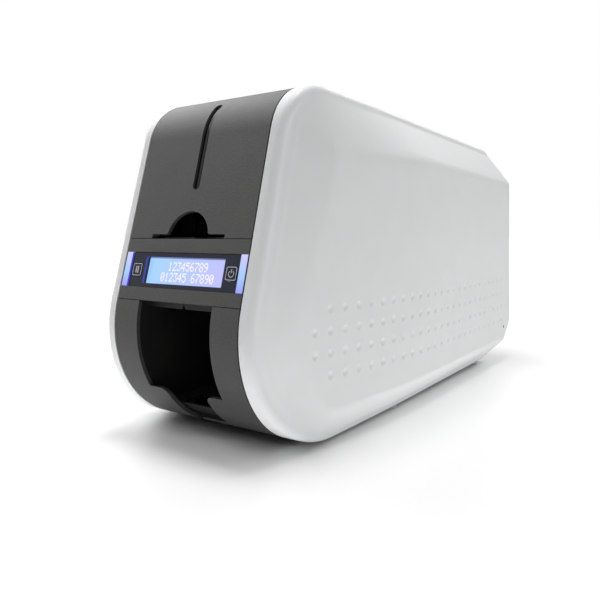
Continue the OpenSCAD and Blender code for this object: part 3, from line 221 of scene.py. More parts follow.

# --------------------------------------------------------------------
# Steel frame and chassis. Two near-black steel side frames on a moulded base tray, joined by turned rods,
# with zinc-plated card floors between them. Pressed and cut, fixed with pan-head screws.
ROUND_EDGE = 0.35 * MM
MOTTLE_SIZE = 0.02
MOTTLE_REACH = (0.35, 0.65)
GRAIN_REACH = (0.3, 0.7)
GLOSS_SWING = 0.12


def noise(nodes, links, size, detail, stretch):
    """A noise texture in the piece's own place, in features of about a size in metres."""
    where = nodes.new("ShaderNodeTexCoord").outputs["Object"]
    if stretch is not None:
        mapping = nodes.new("ShaderNodeMapping")
        mapping.inputs["Scale"].default_value = stretch
        links.new(where, mapping.inputs["Vector"])
        where = mapping.outputs[0]
    texture = nodes.new("ShaderNodeTexNoise")
    texture.inputs["Scale"].default_value = 1 / size
    texture.inputs["Detail"].default_value = detail
    links.new(where, texture.inputs["Vector"])
    return texture.outputs["Fac"]


def tinted(nodes, links, share, low, high):
    """A colour part of the way between two others, each of them a socket or a plain colour."""
    node = nodes.new("ShaderNodeMix")
    node.data_type = "RGBA"
    links.new(share, node.inputs[0])
    for place, colour in ((6, low), (7, high)):
        if isinstance(colour, tuple):
            node.inputs[place].default_value = (*colour, 1)
        else:
            links.new(colour, node.inputs[place])
    return node.outputs[2]


def finish_material(name, colour, mottle, roughness, grain, bump, metal=0.0, stretch=None,
                    round_edge=ROUND_EDGE, specular=0.5, coat=0.0, fleck=0.0):
    """A moulded or rolled surface: mottled colour, uneven gloss, fine grain and softened edges."""
    material, nodes, links = fresh(bpy.data.materials, name)
    shader = principled(nodes, {"Metallic": metal, "Specular IOR Level": specular, "Coat Weight": coat,
                                "Coat Roughness": 0.08})
    cloud = mapped(nodes, links, noise(nodes, links, MOTTLE_SIZE, 3, stretch), MOTTLE_REACH)
    dark = tuple(part * (1 - mottle) for part in colour)
    light = tuple(min(1, part * (1 + mottle)) for part in colour)
    mottled = tinted(nodes, links, cloud, dark, light)
    fine = noise(nodes, links, grain, 2, stretch)
    if fleck:
        flecked = nodes.new("ShaderNodeVectorMath")
        flecked.operation = "SCALE"
        links.new(mottled, flecked.inputs[0])
        links.new(mapped(nodes, links, fine, GRAIN_REACH, (1 - fleck, 1 + fleck)), flecked.inputs["Scale"])
        mottled = flecked.outputs[0]
    links.new(mottled, shader.inputs["Base Color"])
    gloss = (roughness * (1 - GLOSS_SWING), min(1, roughness * (1 + GLOSS_SWING)))
    links.new(mapped(nodes, links, fine, GRAIN_REACH, gloss), shader.inputs["Roughness"])
    relief = nodes.new("ShaderNodeBump")
    relief.inputs["Strength"].default_value = 1.0
    relief.inputs["Distance"].default_value = bump
    links.new(fine, relief.inputs["Height"])
    if round_edge:
        soft = nodes.new("ShaderNodeBevel")
        soft.samples = 4
        soft.inputs["Radius"].default_value = round_edge
        links.new(soft.outputs[0], relief.inputs["Normal"])
    links.new(relief.outputs[0], shader.inputs["Normal"])
    surface(nodes, links, shader.outputs[0])
    return material


def dress(material, *names):
    """Gives CAD nodes a finish."""
    for name in names:
        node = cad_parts[name]
        node.data.materials.clear()
        node.data.materials.append(material)


zinc = finish_material("zinc_plate", (0.50, 0.51, 0.52), 0.10, 0.38, 0.0015, 0.000008, metal=1.0)
turned = finish_material("turned_steel", (0.56, 0.56, 0.57), 0.06, 0.26, 0.0006, 0.000004, metal=1.0,
                         stretch=(0.1, 1, 1))
# The side frames' near-black colour is painted shade for the dark inside of the case.
frame_shade_steel = finish_material("dark_steel_painted_shade", (0.018, 0.018, 0.019), 0.12, 0.5, 0.0008, 0.00001,
                         specular=0.35)
bronze = finish_material("oiled_bronze", (0.42, 0.29, 0.13), 0.15, 0.42, 0.0005, 0.00001, metal=1.0)
dress(frame_shade_steel, "left_frame", "right_frame")
dress(zinc, "card_guide", "exit_ramp", "head_bracket")
dress(turned, "tie_rods", "hopper_hinge_pin", "top_hinge_pin", "gear_pins", "screws")
dress(bronze, "bushings", "motor_pinion")

# --------------------------------------------------------------------
# Card drive. Ground rubber sleeves on steel shafts, acetal gears straight from the mould, a canned
# motor, and black moulded card hopper, weight, flap, tray, fan and power fittings.
rubber = finish_material("ground_rubber", (0.045, 0.045, 0.047), 0.15, 0.72, 0.0006, 0.00003)
tacky = finish_material("tacky_blue_rubber", (0.03, 0.12, 0.42), 0.12, 0.35, 0.004, 0.00001)
acetal = finish_material("natural_acetal", (0.72, 0.70, 0.63), 0.05, 0.42, 0.002, 0.00001)
black_moulding = finish_material("black_moulding", (0.009, 0.009, 0.008), 0.25, 0.55, 0.0008, 0.00003,
                                 specular=0.3)
# Blacker and matter than the plain black moulding: the card hopper, its weight and the chute are black
# plastic darkened further as painted shade for the dark inside of the case.
shade_black_moulding = finish_material("black_moulding_painted_shade", (0.004, 0.004, 0.004), 0.2, 0.7, 0.0008, 0.00003,
                             specular=0.15)
motor_can = finish_material("motor_can", (0.30, 0.30, 0.31), 0.08, 0.32, 0.001, 0.000006, metal=1.0)
dress(rubber, "pick_roller", "feed_roller", "platen_roller", "exit_roller", "feed_idler", "exit_idler")
dress(tacky, "cleaning_roller")
dress(acetal, "pick_gear", "feed_gear", "platen_gear", "exit_gear", "transport_gear", "transfer_gear",
      "exit_drive_gear", "reduction_gear")
dress(shade_black_moulding, "card_hopper", "card_weight")
dress(black_moulding, "diverter_flap", "output_tray", "fan_frame", "fan_rotor", "power_rocker",
      "power_inlet")
dress(motor_can, "drive_motor")

# --------------------------------------------------------------------
# Printing unit. A pale cartridge frame that lifts out with its two spools, the dye film between them,
# and the finned aluminium head that hangs under the top cover.
cartridge_plastic = finish_material("cartridge_plastic", (0.66, 0.68, 0.70), 0.05, 0.4, 0.001, 0.00002)
dye_film = finish_material("dye_film", (0.42, 0.26, 0.02), 0.25, 0.22, 0.006, 0.00001, coat=0.4)
used_film = finish_material("used_film", (0.08, 0.05, 0.10), 0.35, 0.25, 0.004, 0.00001, coat=0.4)
fins = finish_material("extruded_aluminium", (0.62, 0.62, 0.63), 0.05, 0.35, 0.0008, 0.00001, metal=1.0,
                       stretch=(1, 0.1, 0.1))
dress(cartridge_plastic, "ribbon_cartridge")
dress(dye_film, "supply_spool", "ribbon_film")
dress(used_film, "takeup_spool")
dress(fins, "print_head")

# --------------------------------------------------------------------
# Boards and rear sockets. Green glass-fibre boards with their parts under the same green mask, and
# plated sockets in the rear panel.
board_mask = finish_material("board_mask", (0.015, 0.11, 0.045), 0.3, 0.35, 0.002, 0.00002)
plated = finish_material("plated_socket", (0.62, 0.62, 0.63), 0.05, 0.22, 0.001, 0.000004, metal=1.0)
dress(board_mask, "main_board", "display_board")
dress(plated, "usb_port", "network_port")

# --------------------------------------------------------------------
# Grey centre covers. Fine-grained dark grey plastic, 2.5 mm thick, that follows the side outline from
# the chin over the display to the brow and back along the top. The hopper cover has a half-moon notch
# over a card slot at its lower edge, and a sight slit; its rear edge is a round hinge barrel.
BODY_LENGTH = (CAD_BOX[1][1] - CAD_BOX[0][1]) / MM
BODY_HEIGHT = (CAD_BOX[1][2] - CAD_BOX[0][2]) / MM
HALF_LENGTH = BODY_LENGTH / 2
SOLE = 3.0
CHIN_LOW = 1.0
FRONT_LEAN = math.radians(14.7)
FRONT_AHEAD = 20.335
CHIN_RADIUS = 69.0
BROW_RADIUS = 40.0
TOP_FALL = 4.0
REAR_TOP_RUN, REAR_TOP_DROP = 20.0, 38.0
REAR_FOOT_RUN, REAR_FOOT_RISE = 43.0, 35.0
BEND_RADIUS, REAR_RADIUS = 10.0, 16.0
ARC_ROWS = 33
COVER_HALF = 50.9
COVER_WALL = 2.5
HOPPER_LOW = 126.9
HINGE_Y = 126.0
HINGE_RADIUS = 4.0
BARREL_HALF = 45.5
NOTCH_RADIUS = 17.2
NOTCH_FILLET = 1.6
SLOT_HALF = 30.6
SLOT_HEIGHT = 2.6
SLOT_ROUND = 0.8
SLIT_HALF = 2.85
SLIT_LOW = 157.0
SLIT_END_Y = 44.0
RIB_X = 24.0
RIB_HALF = 1.0
RIB_RISE = 5.0
RIB_LOW, RIB_SHORT = 22.0, 8.0
SHARP_ANGLE, SMOOTH_ANGLE = math.radians(38), math.radians(32)

LEAN_COS, LEAN_SIN = math.cos(FRONT_LEAN), math.sin(FRONT_LEAN)


def front_y(z):
    """Distance back of the leaning front face at a height."""
    return z * LEAN_SIN / LEAN_COS - FRONT_AHEAD


# Distance back, height and radius of each corner of the side outline, from the chin round by the top
CORNERS = [
    (front_y(CHIN_LOW), CHIN_LOW, CHIN_RADIUS),
    (front_y(BODY_HEIGHT), BODY_HEIGHT, BROW_RADIUS),
    (BODY_LENGTH - REAR_TOP_RUN, BODY_HEIGHT - TOP_FALL, BEND_RADIUS),
    (BODY_LENGTH, BODY_HEIGHT - REAR_TOP_DROP, REAR_RADIUS),
    (BODY_LENGTH, SOLE + REAR_FOOT_RISE, REAR_RADIUS),
    (BODY_LENGTH - REAR_FOOT_RUN, SOLE, BEND_RADIUS),
]


def edge_normal(i):
    """Outward direction of the edge that starts at a corner."""
    a, b = np.array(CORNERS[i % 6][:2]), np.array(CORNERS[(i + 1) % 6][:2])
    way = (b - a) / np.linalg.norm(b - a)
    return np.array([-way[1], way[0]])


def corner_centre(i):
    before, after = edge_normal(i - 1), edge_normal(i)
    return np.array(CORNERS[i][:2]) - CORNERS[i][2] * (before + after) / (1 + before @ after)


def outline_line():
    """The side outline as rows of length so far, y, z, normal y, normal z, round once and a bit."""
    rows = []
    for i in [*range(6), *range(2)]:
        start = edge_normal(i - 1)
        sweep = math.acos(start @ edge_normal(i))
        for turn in np.linspace(0, sweep, ARC_ROWS):
            c, s = math.cos(turn), math.sin(turn)
            normal = np.array([start[0] * c + start[1] * s, start[1] * c - start[0] * s])
            rows.append([*(corner_centre(i) + CORNERS[i][2] * normal), *normal])
    rows = np.array(rows)
    steps = np.linalg.norm(np.diff(rows[:, :2], axis=0), axis=1)
    return np.column_stack([np.concatenate([[0], np.cumsum(steps)]), rows])


OUTLINE = outline_line()


def along(s, inset=0.0):
    """Points of the outline at given lengths, moved inwards by an inset: (y, z) in mm."""
    normal = np.array([np.interp(s, OUTLINE[:, 0], OUTLINE[:, k]) for k in (3, 4)])
    normal = normal / np.linalg.norm(normal, axis=0)
    place = np.array([np.interp(s, OUTLINE[:, 0], OUTLINE[:, k]) for k in (1, 2)])
    return place - inset * normal


def front_length(z):
    """Length along the outline at which the front passes a height."""
    rows = OUTLINE[: 2 * ARC_ROWS]
    return float(np.interp(z, rows[:, 2], rows[:, 0]))


def top_length(y):
    """Length along the outline at which the top passes a distance from the front."""
    rows = OUTLINE[ARC_ROWS: 3 * ARC_ROWS]
    return float(np.interp(y, rows[:, 1], rows[:, 0]))


def select_only(*pieces):
    bpy.ops.object.select_all(action="DESELECT")
    for piece in pieces:
        piece.select_set(True)
    bpy.context.view_layer.objects.active = pieces[0]


def linked(name, points, faces):
    """A mesh object from points in metres."""
    mesh = bpy.data.meshes.new(name)
    mesh.from_pydata(points, [], faces)
    piece = bpy.data.objects.new(name, mesh)
    bpy.context.scene.collection.objects.link(piece)
    return piece


def face_out(piece, weld=False):
    """Turns the faces outwards, with points that meet welded first if asked."""
    select_only(piece)
    bpy.ops.object.mode_set(mode="EDIT")
    bpy.ops.mesh.select_all(action="SELECT")
    if weld:
        bpy.ops.mesh.remove_doubles(threshold=0.001 * MM)
    bpy.ops.mesh.normals_make_consistent(inside=False)
    bpy.ops.object.mode_set(mode="OBJECT")


def new_piece(name, points, faces):
    """A mesh piece from points in mm, with y counted from the front, faces turned outwards."""
    place = np.array(points, float) * MM
    place[:, 1] -= HALF_LENGTH * MM
    piece = linked(name, place.tolist(), faces)
    face_out(piece)
    return piece


def loft(rows):
    """Closed solid through rows that hold the same number of points."""
    count = len(rows[0])
    points = [point for row in rows for point in row]
    last = count * (len(rows) - 1)
    faces = [tuple(range(count - 1, -1, -1)), tuple(range(last, last + count))]
    for first in range(0, last, count):
        for k in range(count):
            a, b = first + k, first + (k + 1) % count
            faces.append((a, b, b + count, a + count))
    return points, faces


def outline_strip(name, s0, s1, half, outer, inner, step=1.3, rounded=0.0, dome=0.0):
    """A wall along the outline between two lengths and two insets, with round ends or a domed face."""
    count = max(3, int(abs(s1 - s0) / step) + 1)
    lengths = np.linspace(s0, s1, count)
    if rounded:
        ends = rounded * (1 - np.cos(np.linspace(0, math.pi / 2, 9)[1:]))
        middle = lengths[(lengths > s0 + rounded) & (lengths < s1 - rounded)]
        lengths = np.concatenate([s0 + ends, middle, (s1 - ends)[::-1]])
    shares = np.linspace(-1, 1, 11) if dome else (-1, 1)
    rows = []
    for s in lengths:
        width = half
        if rounded:
            reach = min(s - s0, s1 - s, rounded)
            width = max(0.05, math.sqrt(max(0, rounded ** 2 - (rounded - reach) ** 2)))
        face = [(share * width, *along(s, outer + dome * share ** 2)) for share in shares]
        rows.append(face + [(width, *along(s, inner)), (-width, *along(s, inner))])
    return new_piece(name, *loft(rows))


def apply_all(piece):
    select_only(piece)
    for modifier in list(piece.modifiers):
        bpy.ops.object.modifier_apply(modifier=modifier.name)


def cut(piece, *cutters):
    """Cuts solids out of a piece, one after another."""
    for cutter in cutters:
        modifier = piece.modifiers.new("cut", "BOOLEAN")
        modifier.operation = "DIFFERENCE"
        modifier.solver = "EXACT"
        modifier.object = cutter
        apply_all(piece)
        bpy.data.objects.remove(cutter)


def soften(piece, width, segments=2):
    """Breaks the sharp edges and smooths the round stretches, with the flats left flat."""
    modifier = piece.modifiers.new("edges", "BEVEL")
    modifier.width = width * MM
    modifier.segments = segments
    modifier.limit_method = "ANGLE"
    modifier.angle_limit = SHARP_ANGLE
    modifier.use_clamp_overlap = True
    apply_all(piece)
    bpy.ops.object.shade_smooth_by_angle(angle=SMOOTH_ANGLE)
    modifier = piece.modifiers.new("flats", "WEIGHTED_NORMAL")
    modifier.keep_sharp = True
    apply_all(piece)


def set_out(piece, material, body, slot, *nodes):
    """Gives a finished piece its material, its body and the nodes that it stands for; the slot is not used.
    """
    piece.data.materials.clear()
    piece.data.materials.append(material)
    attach(piece, body)
    if nodes:
        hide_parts(*nodes)


def place_mesh(piece, matrix):
    """Moves the mesh itself, so that the object stays at the origin."""
    piece.data.transform(matrix @ piece.matrix_world)
    piece.matrix_world = Matrix.Identity(4)


def on_front(name, z, points, faces):
    """A mesh on the leaning front at a height, from points in mm: across, into it, up its face."""
    piece = linked(name, [tuple(part * MM for part in point) for point in points], faces)
    place = Vector((0, (front_y(z) - HALF_LENGTH) * MM, z * MM))
    place_mesh(piece, Matrix.Translation(place) @ Matrix.Rotation(-FRONT_LEAN, 4, "X"))
    return piece


def front_prism(name, z, profile, depth0, depth1):
    """A flat outline (x, up) in mm pushed into the leaning front between two depths."""
    rows = [[(x, depth, up) for x, up in profile] for depth in (depth0, depth1)]
    piece = on_front(name, z, *loft(rows))
    face_out(piece)
    return piece


def arc(centre_x, centre_up, radius, start, end, steps):
    """Points of an arc, angles in degrees."""
    angles = np.radians(np.linspace(start, end, steps))
    return [(centre_x + radius * math.cos(a), centre_up + radius * math.sin(a)) for a in angles]


def rounded_box(half_w, half_h, radius, x=0.0):
    """Outline of a rounded rectangle, centred on a distance across."""
    points = []
    for sx, sy, start in ((1, 1, 0), (-1, 1, 90), (-1, -1, 180), (1, -1, 270)):
        points += arc(sx * (half_w - radius), sy * (half_h - radius), radius, start, start + 90, 6)
    return [(px + x, up) for px, up in points]


grey_grain = finish_material("grey_grained_plastic", (0.0425, 0.0435, 0.0407), 0.04, 0.52, 0.0009,
                             0.00016, round_edge=0, specular=0.5, fleck=0.25)

hopper_cover = outline_strip("hopper_cover_skin", front_length(HOPPER_LOW), top_length(HINGE_Y),
                             COVER_HALF, 0, COVER_WALL)
fillet_up = SLOT_HEIGHT + NOTCH_FILLET
fillet_x = math.sqrt((NOTCH_RADIUS + NOTCH_FILLET) ** 2 - fillet_up ** 2)
meet = math.degrees(math.atan2(fillet_up, fillet_x))
right_half = arc(0, 0, NOTCH_RADIUS, 90, meet, 24)[:-1]
right_half += arc(fillet_x, fillet_up, NOTCH_FILLET, 180 + meet, 270, 8)
right_half += arc(SLOT_HALF - SLOT_ROUND, SLOT_HEIGHT - SLOT_ROUND, SLOT_ROUND, 90, 0, 6)
right_half += [(SLOT_HALF, -4)]
notch = right_half + [(-x, up) for x, up in right_half[:0:-1]]
slit = outline_strip("slit_cutter", front_length(SLIT_LOW), top_length(SLIT_END_Y), SLIT_HALF,
                     -1.5, COVER_WALL + 2, rounded=SLIT_HALF)
cut(hopper_cover, front_prism("notch_cutter", HOPPER_LOW, notch, -6, 12), slit)
soften(hopper_cover, 0.3)

(brow_y, brow_z, _), (rear_y, rear_z, _) = CORNERS[1:3]
hinge_z = brow_z + (HINGE_Y - brow_y) * (rear_z - brow_z) / (rear_y - brow_y) - HINGE_RADIUS
bpy.ops.object.select_all(action="DESELECT")
bpy.ops.mesh.primitive_cylinder_add(vertices=48, radius=(HINGE_RADIUS - 0.05) * MM,
                                    depth=2 * BARREL_HALF * MM)
barrel = bpy.context.object
place_mesh(barrel, Matrix.Translation((0, (HINGE_Y - HALF_LENGTH) * MM, hinge_z * MM))
           @ Matrix.Rotation(math.pi / 2, 4, "Y"))
soften(barrel, 0.4)
ribs = []
for x in (-RIB_X, RIB_X):
    rib = outline_strip("hopper_rib", front_length(HOPPER_LOW + RIB_LOW), top_length(HINGE_Y - RIB_SHORT),
                        RIB_HALF, COVER_WALL - 0.05, COVER_WALL + RIB_RISE)
    place_mesh(rib, Matrix.Translation((x * MM, 0, 0)))
    soften(rib, 0.4)
    ribs.append(rib)
select_only(hopper_cover, barrel, *ribs)
bpy.ops.object.join()
set_out(hopper_cover, grey_grain, "hopper_lid", "grey_cover", "hopper_cover")

# --------------------------------------------------------------------
# Sight insert. A strip of smoked glossy acrylic with a domed face, a little below the cover.
INSERT_PLAY = 0.1
INSERT_SUNK = 1.3
INSERT_DOME = 0.45
gloss_black = finish_material("smoked_acrylic", (0.003, 0.003, 0.003), 0.3, 0.07, 0.002, 0.000002,
                              round_edge=0, specular=0.25)
insert_half = SLIT_HALF - INSERT_PLAY
sight = outline_strip("sight_insert", front_length(SLIT_LOW) + INSERT_PLAY,
                      top_length(SLIT_END_Y) - INSERT_PLAY, insert_half, INSERT_SUNK, COVER_WALL + 0.6,
                      rounded=insert_half, dome=INSERT_DOME)
bpy.ops.object.shade_smooth_by_angle(angle=math.radians(40))
set_out(sight, gloss_black, "hopper_lid", "panel_gloss", "sight_window")

# --------------------------------------------------------------------
# Lower front. One moulding under the display: two cheeks beside the pocket, two lip tabs with rounded
# corners, and a finger cut-out between the tabs that runs down and under the chin.
BEZEL_LOW = 88.4
LIP_Z = 33.0
LIP_RADIUS = 5.0
FINGER_HALF = 16.5
POCKET_HALF = 30.6
SEAM = 0.4
LOWER_END_Y = 61.6
LOWER_WALL = 2.6


def bottom_length(y):
    """Length along the outline at which the bottom passes a distance from the front, near the chin."""
    rows = OUTLINE[:ARC_ROWS]
    if y < rows[0, 1]:
        return float(np.interp(-y, -rows[:, 1], rows[:, 0]))
    return float(rows[0, 0])


left_half = [(-FINGER_HALF, -8), (-FINGER_HALF, LIP_Z - LIP_RADIUS)]
left_half += arc(-FINGER_HALF - LIP_RADIUS, LIP_Z - LIP_RADIUS, LIP_RADIUS, 0, 90, 10)
left_half += [(-POCKET_HALF, LIP_Z), (-POCKET_HALF, BEZEL_LOW + 5)]
pocket = left_half + [(-x, z) for x, z in reversed(left_half)]
lower_front = outline_strip("lower_front_skin", bottom_length(LOWER_END_Y), front_length(BEZEL_LOW - SEAM),
                            COVER_HALF, 0, LOWER_WALL)
pocket_rows = [[(x, y, z) for x, z in pocket] for y in (-10, 45)]
cut(lower_front, new_piece("pocket_cutter", *loft(pocket_rows)))
soften(lower_front, 0.45)
set_out(lower_front, grey_grain, "chassis", "grey_cover", "lower_front")
dress(grey_grain, "base_tray", "rear_panel", "top_cover")

# --------------------------------------------------------------------
# Chute under the finger cut-out. The front end of the black output tray curves down from the pocket
# floor through the cut-out and ends a little below the chin. It is partly painted shade: a dark matt sheet
# that fills the cut-out with black where its inside lies in shade.
CHUTE_TOP, CHUTE_END_Y = 15.0, 58.0
CHUTE_DEEP, CHUTE_PROUD, CHUTE_WALL = 3.8, 0.5, 1.5
CHUTE_LAP, CHUTE_PLAY = 4.0, 0.4
chute_start, chute_end = front_length(CHUTE_TOP), bottom_length(CHUTE_END_Y)
chute_rows = []
for share in np.linspace(0, 1, 29):
    length = chute_start + share * (chute_end - chute_start)
    depth = CHUTE_DEEP - (CHUTE_DEEP + CHUTE_PROUD) * share ** 2 * (3 - 2 * share)
    behind_wall = depth > LOWER_WALL + CHUTE_PLAY
    half = FINGER_HALF + (CHUTE_LAP if behind_wall else -CHUTE_PLAY)
    front_side, back_side = along(length, depth), along(length, depth + CHUTE_WALL)
    chute_rows.append([(-half, *front_side), (half, *front_side), (half, *back_side), (-half, *back_side)])
chute = new_piece("tray_chute", *loft(chute_rows))
soften(chute, 0.3)
set_out(chute, shade_black_moulding, "chassis", "black_plastic")

# --------------------------------------------------------------------
# Display bezel. A grey frame round a recessed glossy panel, flush with the covers above and below.
PANEL_HEIGHT = 22.6
TOP_BAND = 8.4
RECESS_HALF = COVER_HALF - 0.15
panel_rise = PANEL_HEIGHT * LEAN_COS / 2
bezel_top = HOPPER_LOW - SEAM
panel_mid = bezel_top - TOP_BAND - panel_rise
bezel = outline_strip("display_bezel_skin", front_length(BEZEL_LOW), front_length(bezel_top),
                      COVER_HALF, 0, 3, step=12)
cut(bezel, front_prism("panel_cutter", panel_mid, rounded_box(RECESS_HALF, PANEL_HEIGHT / 2, 0.8), -4, 8))
soften(bezel, 0.4)
set_out(bezel, grey_grain, "chassis", "grey_cover", "display_bezel")

# --------------------------------------------------------------------
# Display panel. Blue-black glossy acrylic with a window for the display and two key openings. The lit
# display behind the window shows plain numbers in two rows.
BAR_WIDTH = 5.3
PANEL_RECESS = 1.2
PANEL_BACK = 3.05
WINDOW_HALF = 33.4
WINDOW_HALF_HEIGHT = 8.5
BUTTON_X = 39.5
BUTTON = 8.5
BUTTON_PLAY = 0.25
GLASS_DEPTH = PANEL_RECESS + 3.6
panel_gloss = finish_material("blue_black_acrylic", (0.009, 0.014, 0.034), 0.12, 0.12, 0.004, 0.000002,
                              round_edge=0, specular=0.3)
panel_half = RECESS_HALF - BAR_WIDTH - 0.2
panel = front_prism("display_panel_sheet", panel_mid, rounded_box(panel_half, PANEL_HEIGHT / 2 - 0.1, 0.7),
                    PANEL_RECESS, PANEL_BACK)
cutters = [front_prism("window_cutter", panel_mid, rounded_box(WINDOW_HALF, WINDOW_HALF_HEIGHT, 0.6), -1, 8)]
opening_half = BUTTON / 2 + BUTTON_PLAY
for x in (-BUTTON_X, BUTTON_X):
    opening = rounded_box(opening_half, opening_half, 1.2, x)
    cutters.append(front_prism("key_cutter", panel_mid, opening, -1, 8))
cut(panel, *cutters)
soften(panel, 0.15)
set_out(panel, panel_gloss, "chassis", "panel_gloss", "display_panel")


def glow_material(name, left, right, strength, gloss=0.3):
    """Lit plastic whose colour drifts from the left end of the window to the right."""
    material, nodes, links = fresh(bpy.data.materials, name)
    share = mapped(nodes, links, own_place(nodes, links)[0], (-WINDOW_HALF * MM, WINDOW_HALF * MM))
    shader = principled(nodes, {"Roughness": gloss, "Emission Strength": strength,
                                "Base Color": (0.02, 0.02, 0.03, 1)})
    links.new(tinted(nodes, links, share, left, right), shader.inputs["Emission Color"])
    surface(nodes, links, shader.outputs[0])
    return material


def window_ring(name, grow, depth0, depth1):
    """A thin frame round the inside of the display window."""
    outer = rounded_box(WINDOW_HALF + grow, WINDOW_HALF_HEIGHT + grow, 0.6)
    inner = rounded_box(WINDOW_HALF - 0.1, WINDOW_HALF_HEIGHT - 0.1, 0.5)
    ring = front_prism(name, panel_mid, outer, depth0, depth1)
    cut(ring, front_prism("ring_cutter", panel_mid, inner, depth0 - 1, depth1 + 1))
    return ring


lit_glass = glow_material("lit_display", (0.36, 0.66, 0.98), (0.53, 0.52, 0.99), 0.95, gloss=0.15)
glass = front_prism("display_glass", panel_mid, rounded_box(WINDOW_HALF + 1, WINDOW_HALF_HEIGHT + 1.5, 0.5),
                    GLASS_DEPTH, GLASS_DEPTH + 3)
soften(glass, 0.2)
set_out(glass, lit_glass, "chassis", "display_glass", "lcd_module")

lit_edge = glow_material("lit_acrylic_edge", (0.04, 0.035, 0.30), (0.03, 0.03, 0.22), 0.9, gloss=0.15)
set_out(window_ring("window_edge", -0.02, PANEL_RECESS + 0.15, PANEL_BACK - 0.05), lit_edge, "chassis",
        "display_glass")
dark_frame = finish_material("display_frame", (0.004, 0.004, 0.010), 0.2, 0.35, 0.001, 0.000005)
set_out(window_ring("display_frame", 0.9, PANEL_BACK, GLASS_DEPTH - 0.02), dark_frame, "chassis",
        "display_glass")

# Each digit's rows of dots, from the top, as on a display with 5 by 7 dots to a character
DIGITS = {
    "0": "01110 10001 10011 10101 11001 10001 01110",
    "1": "00100 01100 00100 00100 00100 00100 01110",
    "2": "01110 10001 00001 00010 00100 01000 11111",
    "3": "11111 00010 00100 00010 00001 10001 01110",
    "4": "00010 00110 01010 10010 11111 00010 00010",
    "5": "11111 10000 11110 00001 00001 10001 01110",
    "6": "00110 01000 10000 11110 10001 10001 01110",
    "7": "11111 00001 00010 00100 01000 01000 01000",
    "8": "01110 10001 10001 01110 10001 10001 01110",
    "9": "01110 10001 10001 01111 00001 00010 01100",
}
DOT_PITCH_X, DOT_PITCH_UP = 0.62, 0.80
DOT_HALF_X, DOT_HALF_UP = 0.30, 0.39
DOT_PROUD, DOT_SUNK = 0.12, 0.02
CHARACTER_PITCH = 3.75
# Text, middle across and middle up, in mm
LINES = (("123456789", 0.9, 3.4), ("012345 67890", 1.2, -3.4))
DOT_QUADS = ((0, 1, 2, 3), (7, 6, 5, 4), (0, 4, 5, 1), (1, 5, 6, 2), (2, 6, 7, 3), (3, 7, 4, 0))


def dot_corners(x, up):
    return [(x + sx * DOT_HALF_X, depth, up + sz * DOT_HALF_UP)
            for depth in (GLASS_DEPTH - DOT_PROUD, GLASS_DEPTH + DOT_SUNK)
            for sx, sz in ((-1, -1), (1, -1), (1, 1), (-1, 1))]


dot_points, dot_faces = [], []
for text, middle_x, middle_up in LINES:
    for place, digit in enumerate(text):
        left = middle_x + (place - (len(text) - 1) / 2) * CHARACTER_PITCH - 2 * DOT_PITCH_X
        for row, bits in enumerate(DIGITS.get(digit, "").split()):
            up = middle_up + (3 - row) * DOT_PITCH_UP
            for column in (k for k, bit in enumerate(bits) if bit == "1"):
                first = len(dot_points)
                dot_points += dot_corners(left + column * DOT_PITCH_X, up)
                dot_faces += [tuple(first + k for k in quad) for quad in DOT_QUADS]
lit_digit = glow_material("lit_digit", (0.92, 0.82, 0.98), (0.98, 0.90, 0.97), 1.0)
set_out(on_front("display_digits", panel_mid, dot_points, dot_faces), lit_digit, "chassis",
        "display_glass")

# --------------------------------------------------------------------
# Light bars. Frosted guides at the two ends of the panel, lit pale blue from behind, with deep blue
# edges where the light leaks round them.
BAR_MIDDLE = RECESS_HALF - BAR_WIDTH / 2
BAR_EDGE = 0.3
BAR_DEPTHS = (0.1, 6)


def edge_share(nodes, links, value, middle, reach):
    """Rises from 0 to 1 over the last part of a reach on both sides of a middle, in mm."""
    away = maths(nodes, links, "ABSOLUTE", maths(nodes, links, "SUBTRACT", value, middle * MM))
    return mapped(nodes, links, away, ((reach - BAR_EDGE) * MM, (reach - BAR_EDGE / 3) * MM))


def bar_material():
    """Three blues up the bar, and deep blue along its four edges."""
    material, nodes, links = fresh(bpy.data.materials, "lit_bar")
    place = own_place(nodes, links)
    core = nodes.new("ShaderNodeValToRGB")
    core.color_ramp.elements[0].color = (0.30, 0.30, 0.90, 1)
    core.color_ramp.elements[1].color = (0.58, 0.56, 0.96, 1)
    core.color_ramp.elements.new(0.4).color = (0.34, 0.55, 1.0, 1)
    up_share = mapped(nodes, links, place[2], ((panel_mid - panel_rise) * MM, (panel_mid + panel_rise) * MM))
    links.new(up_share, core.inputs[0])
    side = maths(nodes, links, "ABSOLUTE", place[0])
    rim = maths(nodes, links, "MAXIMUM", edge_share(nodes, links, side, BAR_MIDDLE, BAR_WIDTH / 2),
                edge_share(nodes, links, place[2], panel_mid, panel_rise))
    shader = principled(nodes, {"Roughness": 0.35, "Base Color": (0.02, 0.02, 0.04, 1),
                                "Emission Strength": 1.0})
    links.new(tinted(nodes, links, rim, core.outputs[0], (0.05, 0.05, 0.42)),
              shader.inputs["Emission Color"])
    surface(nodes, links, shader.outputs[0])
    return material


bars = []
for x in (-BAR_MIDDLE, BAR_MIDDLE):
    shape = rounded_box(BAR_WIDTH / 2 - 0.05, PANEL_HEIGHT / 2 - 0.1, 0.6, x)
    bar = front_prism("light_bar", panel_mid, shape, *BAR_DEPTHS)
    soften(bar, 0.35, segments=3)
    bars.append(bar)
select_only(*bars)
bpy.ops.object.join()
bars[0].name = "light_bar_pair"
set_out(bars[0], bar_material(), "chassis", "light_guide", "light_bars")

